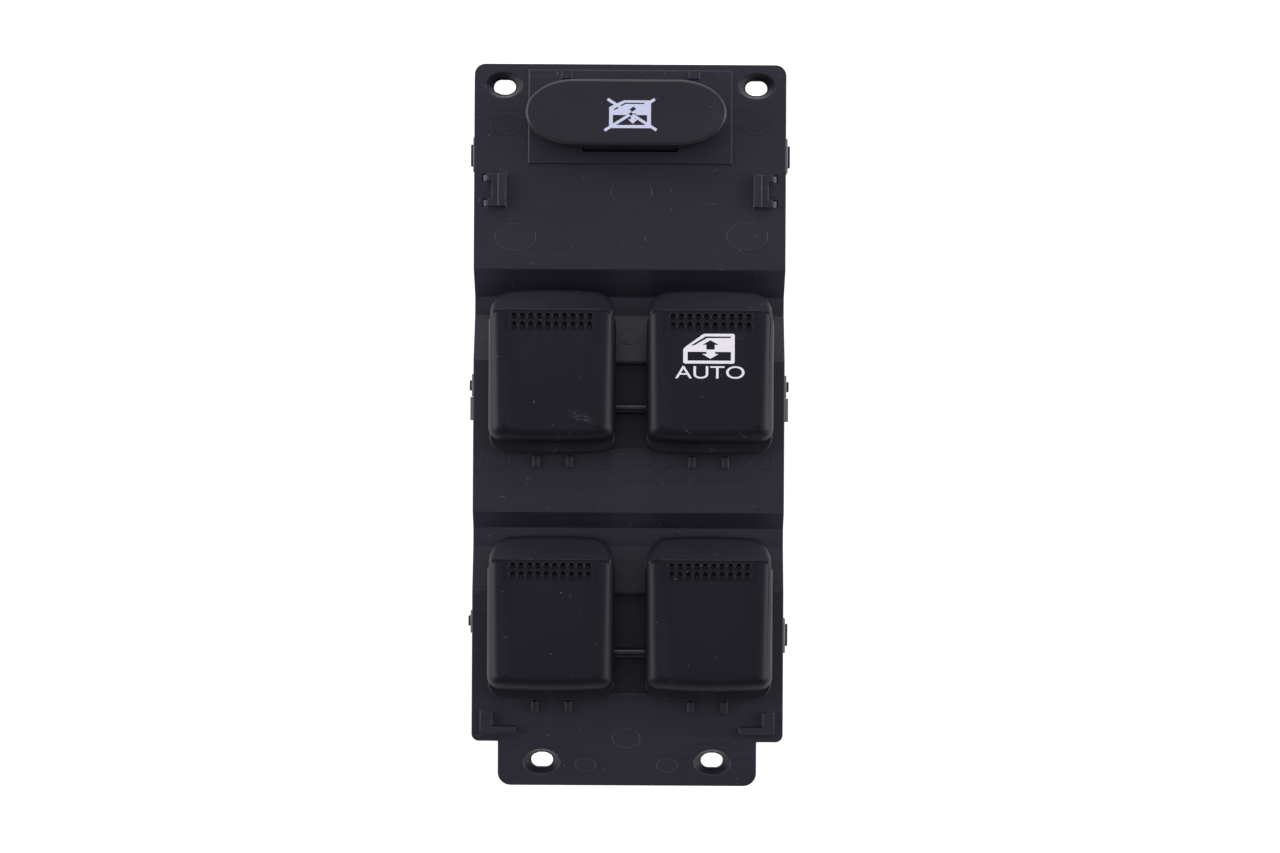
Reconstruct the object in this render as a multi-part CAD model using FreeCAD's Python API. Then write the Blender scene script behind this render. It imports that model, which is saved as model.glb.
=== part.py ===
import FreeCAD, Part
import math
import os

# Four-window power window switch, in millimetres.
# X runs across the switch, Y along it towards the lock button, Z up from the back of the case.
# The origin is the middle of the back, which is the plane z = 0.

# Overall height of the case and the plate.
case_height = 17.0
shelf_z = 30.0
plate_wall = 2.0

# Plan of the top plate: a main field and a narrower tongue at the rear end.
plate_width = 62.4
plate_top_y = 72.2
main_end_y = -63.4
tongue_inset = 5.3
tongue_end_y = -72.2
plate_corner_r = 2.2
main_corner_r = 1.5
tongue_corner_r = 2.6

# Rocker pairs: the shafts' places and the finger recess in front of each pair.
front_pivot_y = 3.3
pair_pitch = 49.0
pivot_z = 29.0
deck_drop = 0.65
front_recess = {"start": 27.8, "drop": 4.0, "step": 5.2, "floor": 3.8, "ramp": 9.2}
rear_recess = {"start": 28.2, "drop": 2.6, "step": 3.2, "floor": 3.8, "ramp": 8.8}

# Rocker caps. Lengths along Y and heights are counted from the shaft's axis.
caps_x = 0.45
cap_gap = 6.1
cap_top = 9.0
cap_rim_bottom = 1.7
cap_rear = 9.05
cap_front = 23.6
loaf_rear = 6.9
loaf_front = 19.2
cap_corner_r = 2.5
nose_corner_r = 3.8
nose_inset = 0.3
cap_edge_r = 1.9
rim_height = 2.1
nose_lip = 1.2
end_bow = 0.6
cap_wall = 1.5
cap_roof = 1.6

# Grip field on each cap: rows of small pits on a brow at the front edge.
brow_side = 3.1
brow_length = 4.2
brow_overhang = 0.3
brow_edge_r = 0.4
pit_columns = 10
pit_rows = 3
pit_margin = 1.2
pit_pitch_y = 1.22
pit_share = 0.64
pit_depth = 0.35

# Shafts and the parts that turn on them or hold them.
shaft_r = 1.0
running_clear = 0.05
ear_gap = 0.45
ear_thickness = 1.6
hub_half = 2.3
window_clear = 0.3
hub_right = 2.8
ear_flare = 0.6
well_side_clear = 0.4
well_rear = 8.0
well_front_gap = 0.6
well_wall = 1.4
well_bottom_z = 22.0
shaft_end_in_wall = 1.1

# Detent in each cap: a sprung pin in the hub's tube, running over a dish in the carrier.
detent_pin_half = 1.25
detent_tube_end = 7.4
detent_bore_top = 2.3
detent_pin_length = 4.3
detent_pin_end = 9.0
detent_clear = 0.3
detent_spring_wire = 0.3
detent_spring_turns = 2
dish_width = 4.4
dish_rise = 2.0

# Drive arm of each cap and the contact slider that it moves.
arm_thickness = 1.6
arm_reach = 10.4
arm_tip_half = 1.3
arm_root_half = 1.6
arm_neck_half = 0.9
slider_beyond_arm = 1.7
slider_flange_share = 0.82
slider_flange_thickness = 1.2
slider_flange_step = 1.0
slider_length = 9.0
slider_height = 4.1
slider_lift = 1.3
slider_clear = 0.12
slider_slot_clear = 0.12
cap_travel_deg = 5.0

# Circuit board and what stands on it.
board_z = 13.0
board_thickness = 1.6
board_clear = 0.3
pad_thickness = 0.3
pad_length = 2.6
pad_width = 4.0
pad_pitch = 3.6
wiper_thickness = 0.25
wiper_width = 3.6
wiper_length = 7.0
wiper_seat_length = 2.5
wiper_toe = 0.5
wiper_gap = 0.05
carrier_height = 4.0
carrier_margin = 0.2
slider_room = 0.4
relay_size = (16.0, 12.0, 11.5)
relay_inset = 16.2
relay_y = 40.5
chip_size = (10.0, 10.0, 1.4)
chip_place = (0.0, -15.5)
chip_legs = 6
chip_leg_length = 1.0
chip_leg_width = 0.4
capacitor_r = 4.0
capacitor_height = 5.6
capacitor_place = (16.0, -17.0)
resistor_size = (3.2, 1.6, 0.6)
resistor_pitch = 4.5
resistor_place = (-20.0, -18.0)
resistor_count = 3
moulding_bevel = 0.6

# Case: a tub with a floor, an inner lip, screw posts and latch loops.
plate_overhang = 1.0
case_front_inset = 13.6
case_rear_inset = 1.6
nose_step = 10.6
nose_front_inset = 1.8
case_corner_r = 2.0
case_wall = 2.2
case_floor = 2.0
skirt_wall = 1.4
lip_clear = 0.1
lip_height = 1.8
post_half = 2.3
post_inset = 5.3
post_ys = (46.0, -57.3)
screw_r = 0.88
screw_pilot_clear = 0.02
screw_hole_clear = 0.3
screw_head_across = 3.6
screw_head_height = 1.4
screw_length = 6.0

# Latches: black wedges on the plate's skirt hold grey loops of the case.
latch_places = ((-1, 55.1, 7.0), (1, 55.1, 7.0), (-1, 8.0, 4.6), (1, 8.0, 4.6),
                (-1, -40.2, 4.6), (1, -42.8, 7.0))
latch_reach = 2.5
loop_thickness = 1.8
loop_gap = 0.1
loop_leg = 1.1
loop_bar = 1.6
loop_top = 22.0
loop_root = 8.0
loop_play = 0.15
loop_window_drop = 1.0
tab_reach = 2.8
tab_length = 4.9
tab_y = 3.3
tab_height = 11.0
tab_drop = 2.0

# Connector on the back of the board, mouth down.
socket_y = 50.5
socket_length = 27.6
socket_width = 9.6
socket_wall = 1.2
socket_roof = 1.6
socket_clear = 0.3
pin_rows = 2
pin_columns = 6
pin_pitch_x = 4.2
pin_pitch_y = 4.0
pin_size = 0.9
pin_tip_z = 5.6
pin_tail = 1.0

# Screw slots of the plate, each in an oval funnel.
top_slot_inset_x = 5.9
top_slot_inset_y = 4.3
bottom_slot_inset_x = 8.8
bottom_slot_inset_y = 4.8
slot_length = 4.4
slot_width = 3.0
slot_ledge = 0.25
funnel_length = 7.5
funnel_width = 5.1
funnel_depth = 2.2
funnel_sides = 24
funnel_boss_wall = 1.1
slot_depth = 1.2
oval_stretch = 1.5

# Lock button, its pad on the plate and its switch on the board.
lock_inset = 10.8
lock_top_z = 38.0
lock_length = 39.5
lock_width = 12.9
lock_head_height = 4.2
lock_head_shift = -0.8
lock_roof = 1.6
lock_wall = 1.5
lock_bevel = 0.4
lock_travel = 2.0
lock_bottom_clear = 0.3
block_width = 18.2
block_bottom_z = 26.0
block_wall = 1.6
block_clear = 0.3
guide_bottom_z = 24.0
pad_block_width = 40.6
pad_block_insets = (19.9, 1.3)
pad_block_raise = 0.5
stop_reach = 0.7
stop_length = 4.0
stop_height = 1.2
stop_gap = 0.3
square_size = (2.1, 1.8)
square_spacing = 25.5
square_raise = 0.35
lock_base_size = (13.0, 10.0, 6.4)
lock_stem = 4.0
lock_stem_bottom_z = 17.8
lock_stem_clear = 0.1
lock_stem_socket = 2.0
lock_spring_r = 3.5
lock_spring_wire = 0.5
lock_spring_turns = 4
coil_steps = 6

# Small forms on the face of the plate.
catch_inset = 6.4
catch_reach = 4.6
catch_back = 2.8
catch_ridge = 1.5
catch_y = (43.5, 50.1)
catch_notch = 3.6
catch_height = 1.2
catch_ridge_height = 1.9
prong_size = (0.8, 1.4)
prong_clear = 0.1
prong_sink = 0.2
corner_rib_inset = 1.8
corner_rib_length = 7.0
corner_rib_rise = 4.4
corner_rib_width = 2.3
corner_rib_foot = 1.4
corner_rib_end = 1.7
corner_rib_height = 1.4
heel_rib_spacing = 6.7
heel_rib_width = 1.2
heel_rib_length = 2.4
heel_rib_gap = 0.45
heel_rib_height = 0.9

# How far joined forms run into each other, and how far a cut runs past the face it opens.
overlap = 0.5
beyond = 1.0

# Values that follow from the ones above.
deck_z = shelf_z - deck_drop
tongue_width = plate_width - 2 * tongue_inset
case_half_width = plate_width / 2 - plate_overhang
case_front_y = plate_top_y - case_front_inset
case_rear_y = main_end_y + case_rear_inset
nose_half_width = case_half_width - nose_step
nose_front_y = plate_top_y - nose_front_inset
post_x = case_half_width - post_inset
relay_x = case_half_width - relay_inset
catch_x = plate_width / 2 - catch_inset
corner_rib_x = plate_width / 2 - corner_rib_inset
corner_rib_y = main_end_y + corner_rib_end
top_slot_spacing = plate_width - 2 * top_slot_inset_x
bottom_slot_spacing = tongue_width - 2 * bottom_slot_inset_x
top_slot_y = plate_top_y - top_slot_inset_y
bottom_slot_y = tongue_end_y + bottom_slot_inset_y
lock_y = plate_top_y - lock_inset
pad_block_y = (plate_top_y - pad_block_insets[0], plate_top_y - pad_block_insets[1])
cap_pitch = plate_width / 2
cap_width = cap_pitch - cap_gap
brow_width = cap_width - 2 * brow_side
pit_pitch_x = (brow_width - 2 * pit_margin) / pit_columns
pit_size_x = pit_share * pit_pitch_x
pit_size_y = pit_share * pit_pitch_y
ear_offset = cap_width / 2 - cap_wall - ear_gap - ear_thickness / 2
arm_offset = ear_offset / 2
slider_offset = arm_offset + slider_beyond_arm
slider_flange_width = slider_flange_share * ear_offset
slider_neck_width = slider_flange_width - 2 * slider_flange_step
rear_pivot_y = front_pivot_y - pair_pitch
pivots = {"front": front_pivot_y, "rear": rear_pivot_y}
recesses = {"front": front_recess, "rear": rear_recess}
sides = {"left": caps_x - cap_pitch / 2, "right": caps_x + cap_pitch / 2}
board_top = board_z + board_thickness
well_half_width = cap_pitch / 2 + ear_offset + ear_thickness / 2 + well_side_clear
bridge_half = cap_pitch / 2 - ear_offset - ear_thickness / 2 - well_side_clear
pad_top = board_top + pad_thickness
slider_bottom = board_top + slider_lift
carrier_top = board_top + carrier_height


def box(x0, x1, y0, y1, z0, z1):
    """A box between two corners."""
    return Part.makeBox(x1 - x0, y1 - y0, z1 - z0, FreeCAD.Vector(x0, y0, z0))


def prism_z(wire, z0, z1):
    """A plan outline, drawn at z = 0, raised between two heights."""
    solid = Part.Face(wire).extrude(FreeCAD.Vector(0, 0, z1 - z0))
    solid.translate(FreeCAD.Vector(0, 0, z0))
    return solid


def prism_x(points, x0, x1):
    """A side view outline of (y, z) points, drawn out across the switch."""
    corners = [FreeCAD.Vector(x0, y, z) for y, z in points]
    wire = Part.makePolygon(corners + corners[:1])
    return Part.Face(wire).extrude(FreeCAD.Vector(x1 - x0, 0, 0))


def cylinder_x(radius, x0, x1, y, z):
    """A round bar along X."""
    return Part.makeCylinder(radius, x1 - x0, FreeCAD.Vector(x0, y, z), FreeCAD.Vector(1, 0, 0))


def cylinder_z(radius, x, y, z0, z1):
    """A round bar along Z."""
    return Part.makeCylinder(radius, z1 - z0, FreeCAD.Vector(x, y, z0))


def fused(shapes):
    """One solid from shapes that overlap or touch."""
    whole = shapes[0]
    for shape in shapes[1:]:
        whole = whole.fuse(shape)
    return whole.removeSplitter()


def rounded_polygon(corners):
    """A plan wire through (x, y, radius) corners, each rounded by its own radius."""
    edges = []
    count = len(corners)
    starts = []
    ends = []
    for i in range(count):
        x, y, radius = corners[i]
        here = FreeCAD.Vector(x, y, 0)
        before = FreeCAD.Vector(*corners[i - 1][:2], 0)
        after = FreeCAD.Vector(*corners[(i + 1) % count][:2], 0)
        back = (before - here).normalize()
        ahead = (after - here).normalize()
        half = math.acos(max(-1.0, min(1.0, back.dot(ahead)))) / 2
        reach = radius / math.tan(half)
        start = here + back * reach
        end = here + ahead * reach
        middle_way = (back + ahead).normalize()
        middle = here + middle_way * (radius / math.sin(half) - radius)
        starts.append(start)
        ends.append(end)
        if radius > 0:
            edges.append((i, Part.Arc(start, middle, end).toShape()))
    loop = []
    for i in range(count):
        loop += [edge for index, edge in edges if index == i]
        loop.append(Part.LineSegment(ends[i], starts[(i + 1) % count]).toShape())
    return Part.Wire(loop)


def stadium(length, width, x, y):
    """A slot outline with round ends, its length along X."""
    reach = (length - width) / 2
    radius = width / 2
    lower_left = FreeCAD.Vector(x - reach, y - radius, 0)
    lower_right = FreeCAD.Vector(x + reach, y - radius, 0)
    upper_right = FreeCAD.Vector(x + reach, y + radius, 0)
    upper_left = FreeCAD.Vector(x - reach, y + radius, 0)
    right_end = FreeCAD.Vector(x + reach + radius, y, 0)
    left_end = FreeCAD.Vector(x - reach - radius, y, 0)
    return Part.Wire([
        Part.LineSegment(lower_left, lower_right).toShape(),
        Part.Arc(lower_right, right_end, upper_right).toShape(),
        Part.LineSegment(upper_right, upper_left).toShape(),
        Part.Arc(upper_left, left_end, lower_left).toShape(),
    ])


def oval(length, width, x, y):
    """An oval outline with half-elliptic ends, its length along X; short ones are whole ellipses."""
    half = width / 2
    reach = min(length / 2, oval_stretch * half)
    straight = length / 2 - reach
    right = Part.Ellipse(FreeCAD.Vector(x + straight, y, 0), reach, half)
    left = Part.Ellipse(FreeCAD.Vector(x - straight, y, 0), reach, half)
    edges = [Part.ArcOfEllipse(right, -math.pi / 2, math.pi / 2).toShape()]
    if straight > 0:
        edges.append(Part.LineSegment(FreeCAD.Vector(x + straight, y + half, 0),
                                      FreeCAD.Vector(x - straight, y + half, 0)).toShape())
    edges.append(Part.ArcOfEllipse(left, math.pi / 2, 3 * math.pi / 2).toShape())
    if straight > 0:
        edges.append(Part.LineSegment(FreeCAD.Vector(x - straight, y - half, 0),
                                      FreeCAD.Vector(x + straight, y - half, 0)).toShape())
    return Part.Wire(edges)


def bowed_outline(width, rear, front, corner_r, bow):
    """A plan outline with straight sides and ends that bow outwards, all corners tangent."""
    half = width / 2
    bow_r = (half * half + bow * bow) / (2 * bow)
    corner_x = half - corner_r
    drop = math.sqrt((bow_r - corner_r) ** 2 - corner_x ** 2)
    quarter = math.atan2(drop, corner_x)

    def end_points(tip, way):
        centre_y = tip - way * bow_r
        corner_y = centre_y + way * drop
        side = FreeCAD.Vector(half, corner_y, 0)
        mid_angle = quarter / 2
        knee = FreeCAD.Vector(corner_x + corner_r * math.cos(mid_angle),
                              corner_y + way * corner_r * math.sin(mid_angle), 0)
        join = FreeCAD.Vector(corner_x + corner_r * math.cos(quarter),
                              corner_y + way * corner_r * math.sin(quarter), 0)
        return side, knee, join, FreeCAD.Vector(0, tip, 0)

    def mirrored(point):
        return FreeCAD.Vector(-point.x, point.y, 0)

    f_side, f_knee, f_join, f_tip = end_points(front, 1)
    r_side, r_knee, r_join, r_tip = end_points(-rear, -1)
    return Part.Wire([
        Part.LineSegment(r_side, f_side).toShape(),
        Part.Arc(f_side, f_knee, f_join).toShape(),
        Part.Arc(f_join, f_tip, mirrored(f_join)).toShape(),
        Part.Arc(mirrored(f_join), mirrored(f_knee), mirrored(f_side)).toShape(),
        Part.LineSegment(mirrored(f_side), mirrored(r_side)).toShape(),
        Part.Arc(mirrored(r_side), mirrored(r_knee), mirrored(r_join)).toShape(),
        Part.Arc(mirrored(r_join), r_tip, r_join).toShape(),
        Part.Arc(r_join, r_knee, r_side).toShape(),
    ])


def edges_at_height(solid, z):
    """The edges that lie in one level plane."""
    return [edge for edge in solid.Edges
            if abs(edge.BoundBox.ZMin - z) < 0.001 and abs(edge.BoundBox.ZMax - z) < 0.001]


def coil(radius, wire, turns, z0, z1, x, y):
    """A compression spring of square wire between two heights, ruled from section to section."""
    climb = z1 - z0 - wire
    steps = turns * coil_steps
    sections = []
    for step in range(steps + 1):
        angle = 2 * math.pi * step / coil_steps
        low = z0 + climb * step / steps
        corners = []
        for reach, height in ((radius - wire / 2, low), (radius + wire / 2, low),
                              (radius + wire / 2, low + wire), (radius - wire / 2, low + wire)):
            along = FreeCAD.Vector(math.cos(angle), math.sin(angle), 0)
            corners.append(FreeCAD.Vector(x, y, height) + along * reach)
        sections.append(corners)
    faces = [Part.Face(Part.makePolygon(end + end[:1])) for end in (sections[0], sections[-1])]
    for here, there in zip(sections, sections[1:]):
        for k in range(4):
            faces.append(Part.makeRuledSurface(Part.LineSegment(here[k - 1], here[k]).toShape(),
                                               Part.LineSegment(there[k - 1], there[k]).toShape()))
    shell = Part.makeShell(faces)
    shell.sewShape()
    spring = Part.Solid(shell)
    if spring.Volume < 0:
        spring.reverse()
    return spring


def case_outline(inset, corner_r):
    """The plan outline of the case and the skirt, moved inwards by the inset."""
    side = case_half_width - inset
    nose = nose_half_width - inset
    rear = case_rear_y + inset
    front = case_front_y - inset
    tip = nose_front_y - inset
    return rounded_polygon([
        (-side, rear, corner_r), (side, rear, corner_r), (side, front, corner_r), (nose, front, 0),
        (nose, tip, corner_r), (-nose, tip, corner_r), (-nose, front, 0), (-side, front, corner_r)])


def face_profile():
    """The (y, z) points of the plate's stepped face, from the lock end to the tongue."""
    points = [(plate_top_y, shelf_z)]
    before = shelf_z
    for name in ("front", "rear"):
        recess = recesses[name]
        y = pivots[name] + recess["start"]
        floor_z = shelf_z - recess["drop"]
        points.append((y, before))
        y -= recess["step"]
        points.append((y, floor_z))
        y -= recess["floor"]
        points.append((y, floor_z))
        y -= recess["ramp"]
        points.append((y, deck_z))
        before = deck_z
    points.append((tongue_end_y, deck_z))
    return points


def ramp_end(name):
    """Where the ramp behind a finger recess reaches the deck."""
    recess = recesses[name]
    return pivots[name] + recess["start"] - recess["step"] - recess["floor"] - recess["ramp"]


def below_face(drop):
    """Everything under the plate's face, lowered by the drop."""
    points = [(y, z - drop) for y, z in face_profile()]
    reach = plate_width
    points[0] = (points[0][0] + beyond, points[0][1])
    points[-1] = (points[-1][0] - beyond, points[-1][1])
    return prism_x(points + [(points[-1][0], 0), (points[0][0], 0)], -reach, reach)


def plate_blank():
    """The stepped wall of the plate, cut to its plan outline."""
    half = plate_width / 2
    tongue = tongue_width / 2
    outline = rounded_polygon([
        (-half, main_end_y, main_corner_r), (-tongue, main_end_y, 0),
        (-tongue, tongue_end_y, tongue_corner_r), (tongue, tongue_end_y, tongue_corner_r),
        (tongue, main_end_y, 0), (half, main_end_y, main_corner_r),
        (half, plate_top_y, plate_corner_r), (-half, plate_top_y, plate_corner_r)])
    column = prism_z(outline, 0, shelf_z + beyond)
    return column.common(below_face(0).cut(below_face(plate_wall)))


def skirt():
    """The wall under the plate that stands on the case's rim."""
    ring = prism_z(case_outline(0, case_corner_r), case_height, shelf_z).cut(
        prism_z(case_outline(skirt_wall, 0), case_height, shelf_z))
    return ring.common(below_face(overlap))


def latch_window(y, length):
    """The clear length between the legs of one loop, and its span along Y."""
    return y - length / 2 + loop_leg, y + length / 2 - loop_leg


def wedges():
    """Latch wedges on the skirt, a ledge on top and a ramp below."""
    low = case_height + loop_play
    top = loop_top - loop_bar - loop_play
    found = []
    for side, y, length in latch_places:
        start, end = latch_window(y, length)
        outer = case_half_width + latch_reach
        corners = [(case_half_width - overlap, low), (case_half_width, low), (outer, (low + 3 * top) / 4),
                   (outer, top), (case_half_width - overlap, top)]
        points = [FreeCAD.Vector(side * x, start + loop_play, z) for x, z in corners]
        wire = Part.makePolygon(points + points[:1])
        found.append(Part.Face(wire).extrude(FreeCAD.Vector(0, end - start - 2 * loop_play, 0)))
    return found


def well_span(name):
    """Front and rear ends of the opening under a pair of caps."""
    return pivots[name] - well_rear, ramp_end(name) - well_front_gap


def well_frame(name):
    """The wall round an opening, with seats for the shaft's ends and a bridge under its middle."""
    rear, front = well_span(name)
    left = caps_x - well_half_width
    right = caps_x + well_half_width
    wall = box(left - well_wall, right + well_wall, rear - well_wall, front + well_wall,
               well_bottom_z, shelf_z)
    wall = wall.cut(box(left, right, rear, front, well_bottom_z, shelf_z)).common(below_face(overlap))
    bridge = box(caps_x - bridge_half, caps_x + bridge_half, rear - well_wall / 2, front + well_wall / 2,
                 well_bottom_z, pivot_z - shaft_r)
    return [wall, bridge]


def shaft(name):
    """The steel shaft of a pair of caps; its ends fill seats in the walls of the opening."""
    reach = well_half_width + shaft_end_in_wall
    return cylinder_x(shaft_r, caps_x - reach, caps_x + reach, pivots[name], pivot_z)


def well_hole(name):
    """The opening itself, through the plate."""
    rear, front = well_span(name)
    return box(caps_x - well_half_width, caps_x + well_half_width, rear, front,
               well_bottom_z, shelf_z + beyond)


def slot_places():
    """Centre and face height of each screw slot."""
    top = [(side * top_slot_spacing / 2, top_slot_y, shelf_z) for side in (-1, 1)]
    bottom = [(side * bottom_slot_spacing / 2, bottom_slot_y, deck_z) for side in (-1, 1)]
    return top + bottom


def faceted_oval(length, width, x, y, z):
    """A many-sided ellipse, its length along X."""
    corners = []
    for i in range(funnel_sides):
        angle = 2 * math.pi * (i + 0.5) / funnel_sides
        corners.append(FreeCAD.Vector(x + length / 2 * math.cos(angle), y + width / 2 * math.sin(angle), z))
    return Part.makePolygon(corners + corners[:1])


def funnel(x, y, face_z):
    """The cut for one funnel, from its ledge round the slot up to the face."""
    grow = 2 * slot_ledge
    low = faceted_oval(slot_length + grow, slot_width + grow, x, y, face_z - funnel_depth)
    high = faceted_oval(funnel_length, funnel_width, x, y, face_z)
    return Part.makeLoft([low, high], True, True)


def slot_bosses():
    """Thick square-edged bosses under the screw slots."""
    half_x = funnel_length / 2 + funnel_boss_wall
    half_y = funnel_width / 2 + funnel_boss_wall
    return [box(x - half_x, x + half_x, y - half_y, y + half_y, z - funnel_depth - slot_depth, z - overlap)
            for x, y, z in slot_places()]


def slot_cuts():
    """The funnels and the slots through them."""
    cuts = []
    for x, y, z in slot_places():
        shoulder = z - funnel_depth
        slot = prism_z(stadium(slot_length, slot_width, x, y), shoulder - slot_depth - beyond, shoulder)
        cuts.append(funnel(x, y, z).fuse(slot))
    return cuts


def lock_pad():
    """The raised pad round the lock button and the two small squares at its edge."""
    half = pad_block_width / 2
    low, high = pad_block_y
    top = shelf_z + pad_block_raise
    parts = [box(-half, half, low, high, shelf_z - overlap, top)]
    for side in (-1, 1):
        x = side * square_spacing / 2
        reach = square_size[0] / 2
        parts.append(box(x - reach, x + reach, high - square_size[1], high,
                         top - overlap, top + square_raise))
    return parts


def lock_guide():
    """The collar under the plate that guides the lock button's block."""
    half_x = block_width / 2 + block_clear
    half_y = lock_width / 2 + block_clear
    grow = well_wall
    return box(-half_x - grow, half_x + grow, lock_y - half_y - grow, lock_y + half_y + grow,
               guide_bottom_z, shelf_z - overlap)


def lock_hole():
    """The hole for the block, with side grooves for its stops below the plate."""
    half_x = block_width / 2 + block_clear
    half_y = lock_width / 2 + block_clear
    hole = box(-half_x, half_x, lock_y - half_y, lock_y + half_y,
               guide_bottom_z, shelf_z + pad_block_raise + beyond)
    groove_x = block_width / 2 + stop_reach + block_clear
    groove_y = stop_length / 2 + block_clear
    groove = box(-groove_x, groove_x, lock_y - groove_y, lock_y + groove_y,
                 guide_bottom_z, shelf_z - plate_wall)
    return hole.fuse(groove)


def trim_catches():
    """C-shaped catches near both edges, with their arms towards the edge."""
    low, high = catch_y
    middle = (low + high) / 2
    parts = []
    for side in (-1, 1):
        inner = catch_x
        outer = catch_x + catch_reach
        body = box(inner, outer, low, high, shelf_z - overlap, shelf_z + catch_height)
        notch = box(inner + catch_back, outer, middle - catch_notch / 2, middle + catch_notch / 2,
                    shelf_z, shelf_z + catch_height)
        ridge = box(inner, inner + catch_ridge, low, high, shelf_z - overlap, shelf_z + catch_ridge_height)
        catch = body.cut(notch).fuse(ridge)
        if side < 0:
            catch = catch.mirror(FreeCAD.Vector(0, 0, 0), FreeCAD.Vector(1, 0, 0))
        parts.append(catch)
    return parts


def prong_places():
    """Outer edge centre of each prong of the case, at the ends of the catches' arms."""
    low, high = catch_y
    reach = prong_size[1] / 2 + prong_clear
    return [(side, y) for side in (-1, 1) for y in (low + reach, high - reach)]


def prong(side, y, clear, top):
    """One upright prong of the case, or with clearance the slot that it stands in."""
    outer = catch_x + catch_reach
    inner = outer - prong_size[0]
    half = prong_size[1] / 2 + clear
    x0 = min(side * (outer + clear), side * (inner - clear))
    x1 = max(side * (outer + clear), side * (inner - clear))
    return box(x0, x1, y - half, y + half, case_height - overlap, top)


def corner_ribs():
    """L-shaped ribs in the two rear corners of the main field."""
    top = deck_z + corner_rib_height
    parts = []
    for side in (-1, 1):
        outer = side * corner_rib_x
        arm = side * (corner_rib_x - corner_rib_width)
        foot = side * (corner_rib_x - corner_rib_length)
        upright = box(min(outer, arm), max(outer, arm), corner_rib_y, corner_rib_y + corner_rib_rise,
                      deck_z - overlap, top)
        level = box(min(outer, foot), max(outer, foot), corner_rib_y, corner_rib_y + corner_rib_foot,
                    deck_z - overlap, top)
        parts.append(upright.fuse(level))
    return parts


def heel_ribs():
    """Pairs of short ribs on the deck behind each cap."""
    parts = []
    for y in pivots.values():
        end = y - cap_rear - heel_rib_gap
        for centre in sides.values():
            for side in (-1, 1):
                x = centre + side * heel_rib_spacing / 2
                parts.append(box(x - heel_rib_width / 2, x + heel_rib_width / 2, end - heel_rib_length, end,
                                 deck_z - overlap, deck_z + heel_rib_height))
    return parts


def top_plate():
    """The black top plate with its skirt, openings, saddles and small forms."""
    parts = [plate_blank(), skirt(), lock_guide()]
    parts += wedges() + slot_bosses() + lock_pad() + trim_catches() + corner_ribs() + heel_ribs()
    whole = fused(parts)
    cuts = [well_hole(name) for name in pivots] + slot_cuts() + [lock_hole()]
    prong_top = shelf_z + catch_ridge_height + beyond
    cuts += [prong(side, y, prong_clear, prong_top) for side, y in prong_places()]
    whole = whole.cut(Part.makeCompound(cuts[:2])).cut(Part.makeCompound(cuts[2:]))
    whole = fused([whole] + [part for name in pivots for part in well_frame(name)])
    return whole.cut(Part.makeCompound([shaft(name) for name in pivots]))


def latch_loops():
    """Loops of the case that stand outside the skirt and hook over the wedges."""
    loops = []
    for side, y, length in latch_places:
        inner = case_half_width + loop_gap
        outer = inner + loop_thickness
        start, end = latch_window(y, length)
        strap = box(inner, outer, y - length / 2, y + length / 2, loop_root, loop_top)
        window = box(inner, outer, start, end, case_height - loop_window_drop, loop_top - loop_bar)
        root = box(case_half_width - overlap, outer, y - length / 2, y + length / 2,
                   loop_root, case_height - loop_thickness)
        loop = strap.cut(window).fuse(root)
        if side < 0:
            loop = loop.mirror(FreeCAD.Vector(0, 0, 0), FreeCAD.Vector(1, 0, 0))
        loops.append(loop)
    return loops


def locating_tabs():
    """Solid tabs on the sides of the case, beside the front latches."""
    top = case_height - tab_drop
    tabs = []
    for side in (-1, 1):
        x0 = side * (case_half_width - overlap)
        x1 = side * (case_half_width + tab_reach)
        tabs.append(box(min(x0, x1), max(x0, x1), tab_y - tab_length / 2, tab_y + tab_length / 2,
                        top - tab_height, top))
    return tabs


def socket_block(grow, z0, z1):
    """The outside of the connector shell, made larger all round by the growth."""
    half_x = socket_length / 2 + socket_wall + grow
    half_y = socket_width / 2 + socket_wall + grow
    return box(-half_x, half_x, socket_y - half_y, socket_y + half_y, z0, z1)


def screw_places():
    """The two posts that take a screw, at opposite corners."""
    return [(-post_x, post_ys[0]), (post_x, post_ys[1])]


def bottom_case():
    """The grey tub, with lip, screw posts, prongs, loops and the connector's window."""
    tub = prism_z(case_outline(0, case_corner_r), 0, case_height).cut(
        prism_z(case_outline(case_wall, 0), case_floor, case_height))
    lip_low = case_height - overlap
    lip_top = case_height + lip_height
    lip = prism_z(case_outline(skirt_wall + lip_clear, 0), lip_low, lip_top).cut(
        prism_z(case_outline(case_wall, 0), lip_low, lip_top))
    posts = [box(side * post_x - post_half, side * post_x + post_half, y - post_half, y + post_half,
                 case_floor - overlap, board_z) for side in (-1, 1) for y in post_ys]
    prongs = [prong(side, y, 0, shelf_z - prong_sink) for side, y in prong_places()]
    whole = fused([tub, lip] + posts + prongs + latch_loops() + locating_tabs())
    pilots = [cylinder_z(screw_r + screw_pilot_clear, x, y, board_z - screw_length - beyond, board_z)
              for x, y in screw_places()]
    window = socket_block(socket_clear, -beyond, case_floor + beyond)
    return whole.cut(Part.makeCompound(pilots + [window]))


def pin_places():
    """The plan positions of the connector's pins."""
    first_x = -(pin_columns - 1) / 2 * pin_pitch_x
    first_y = socket_y - (pin_rows - 1) / 2 * pin_pitch_y
    return [(first_x + column * pin_pitch_x, first_y + row * pin_pitch_y)
            for row in range(pin_rows) for column in range(pin_columns)]


def pin(x, y, clear, z0, z1):
    """One square pin, or with clearance its hole."""
    half = pin_size / 2 + clear
    return box(x - half, x + half, y - half, y + half, z0, z1)


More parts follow.
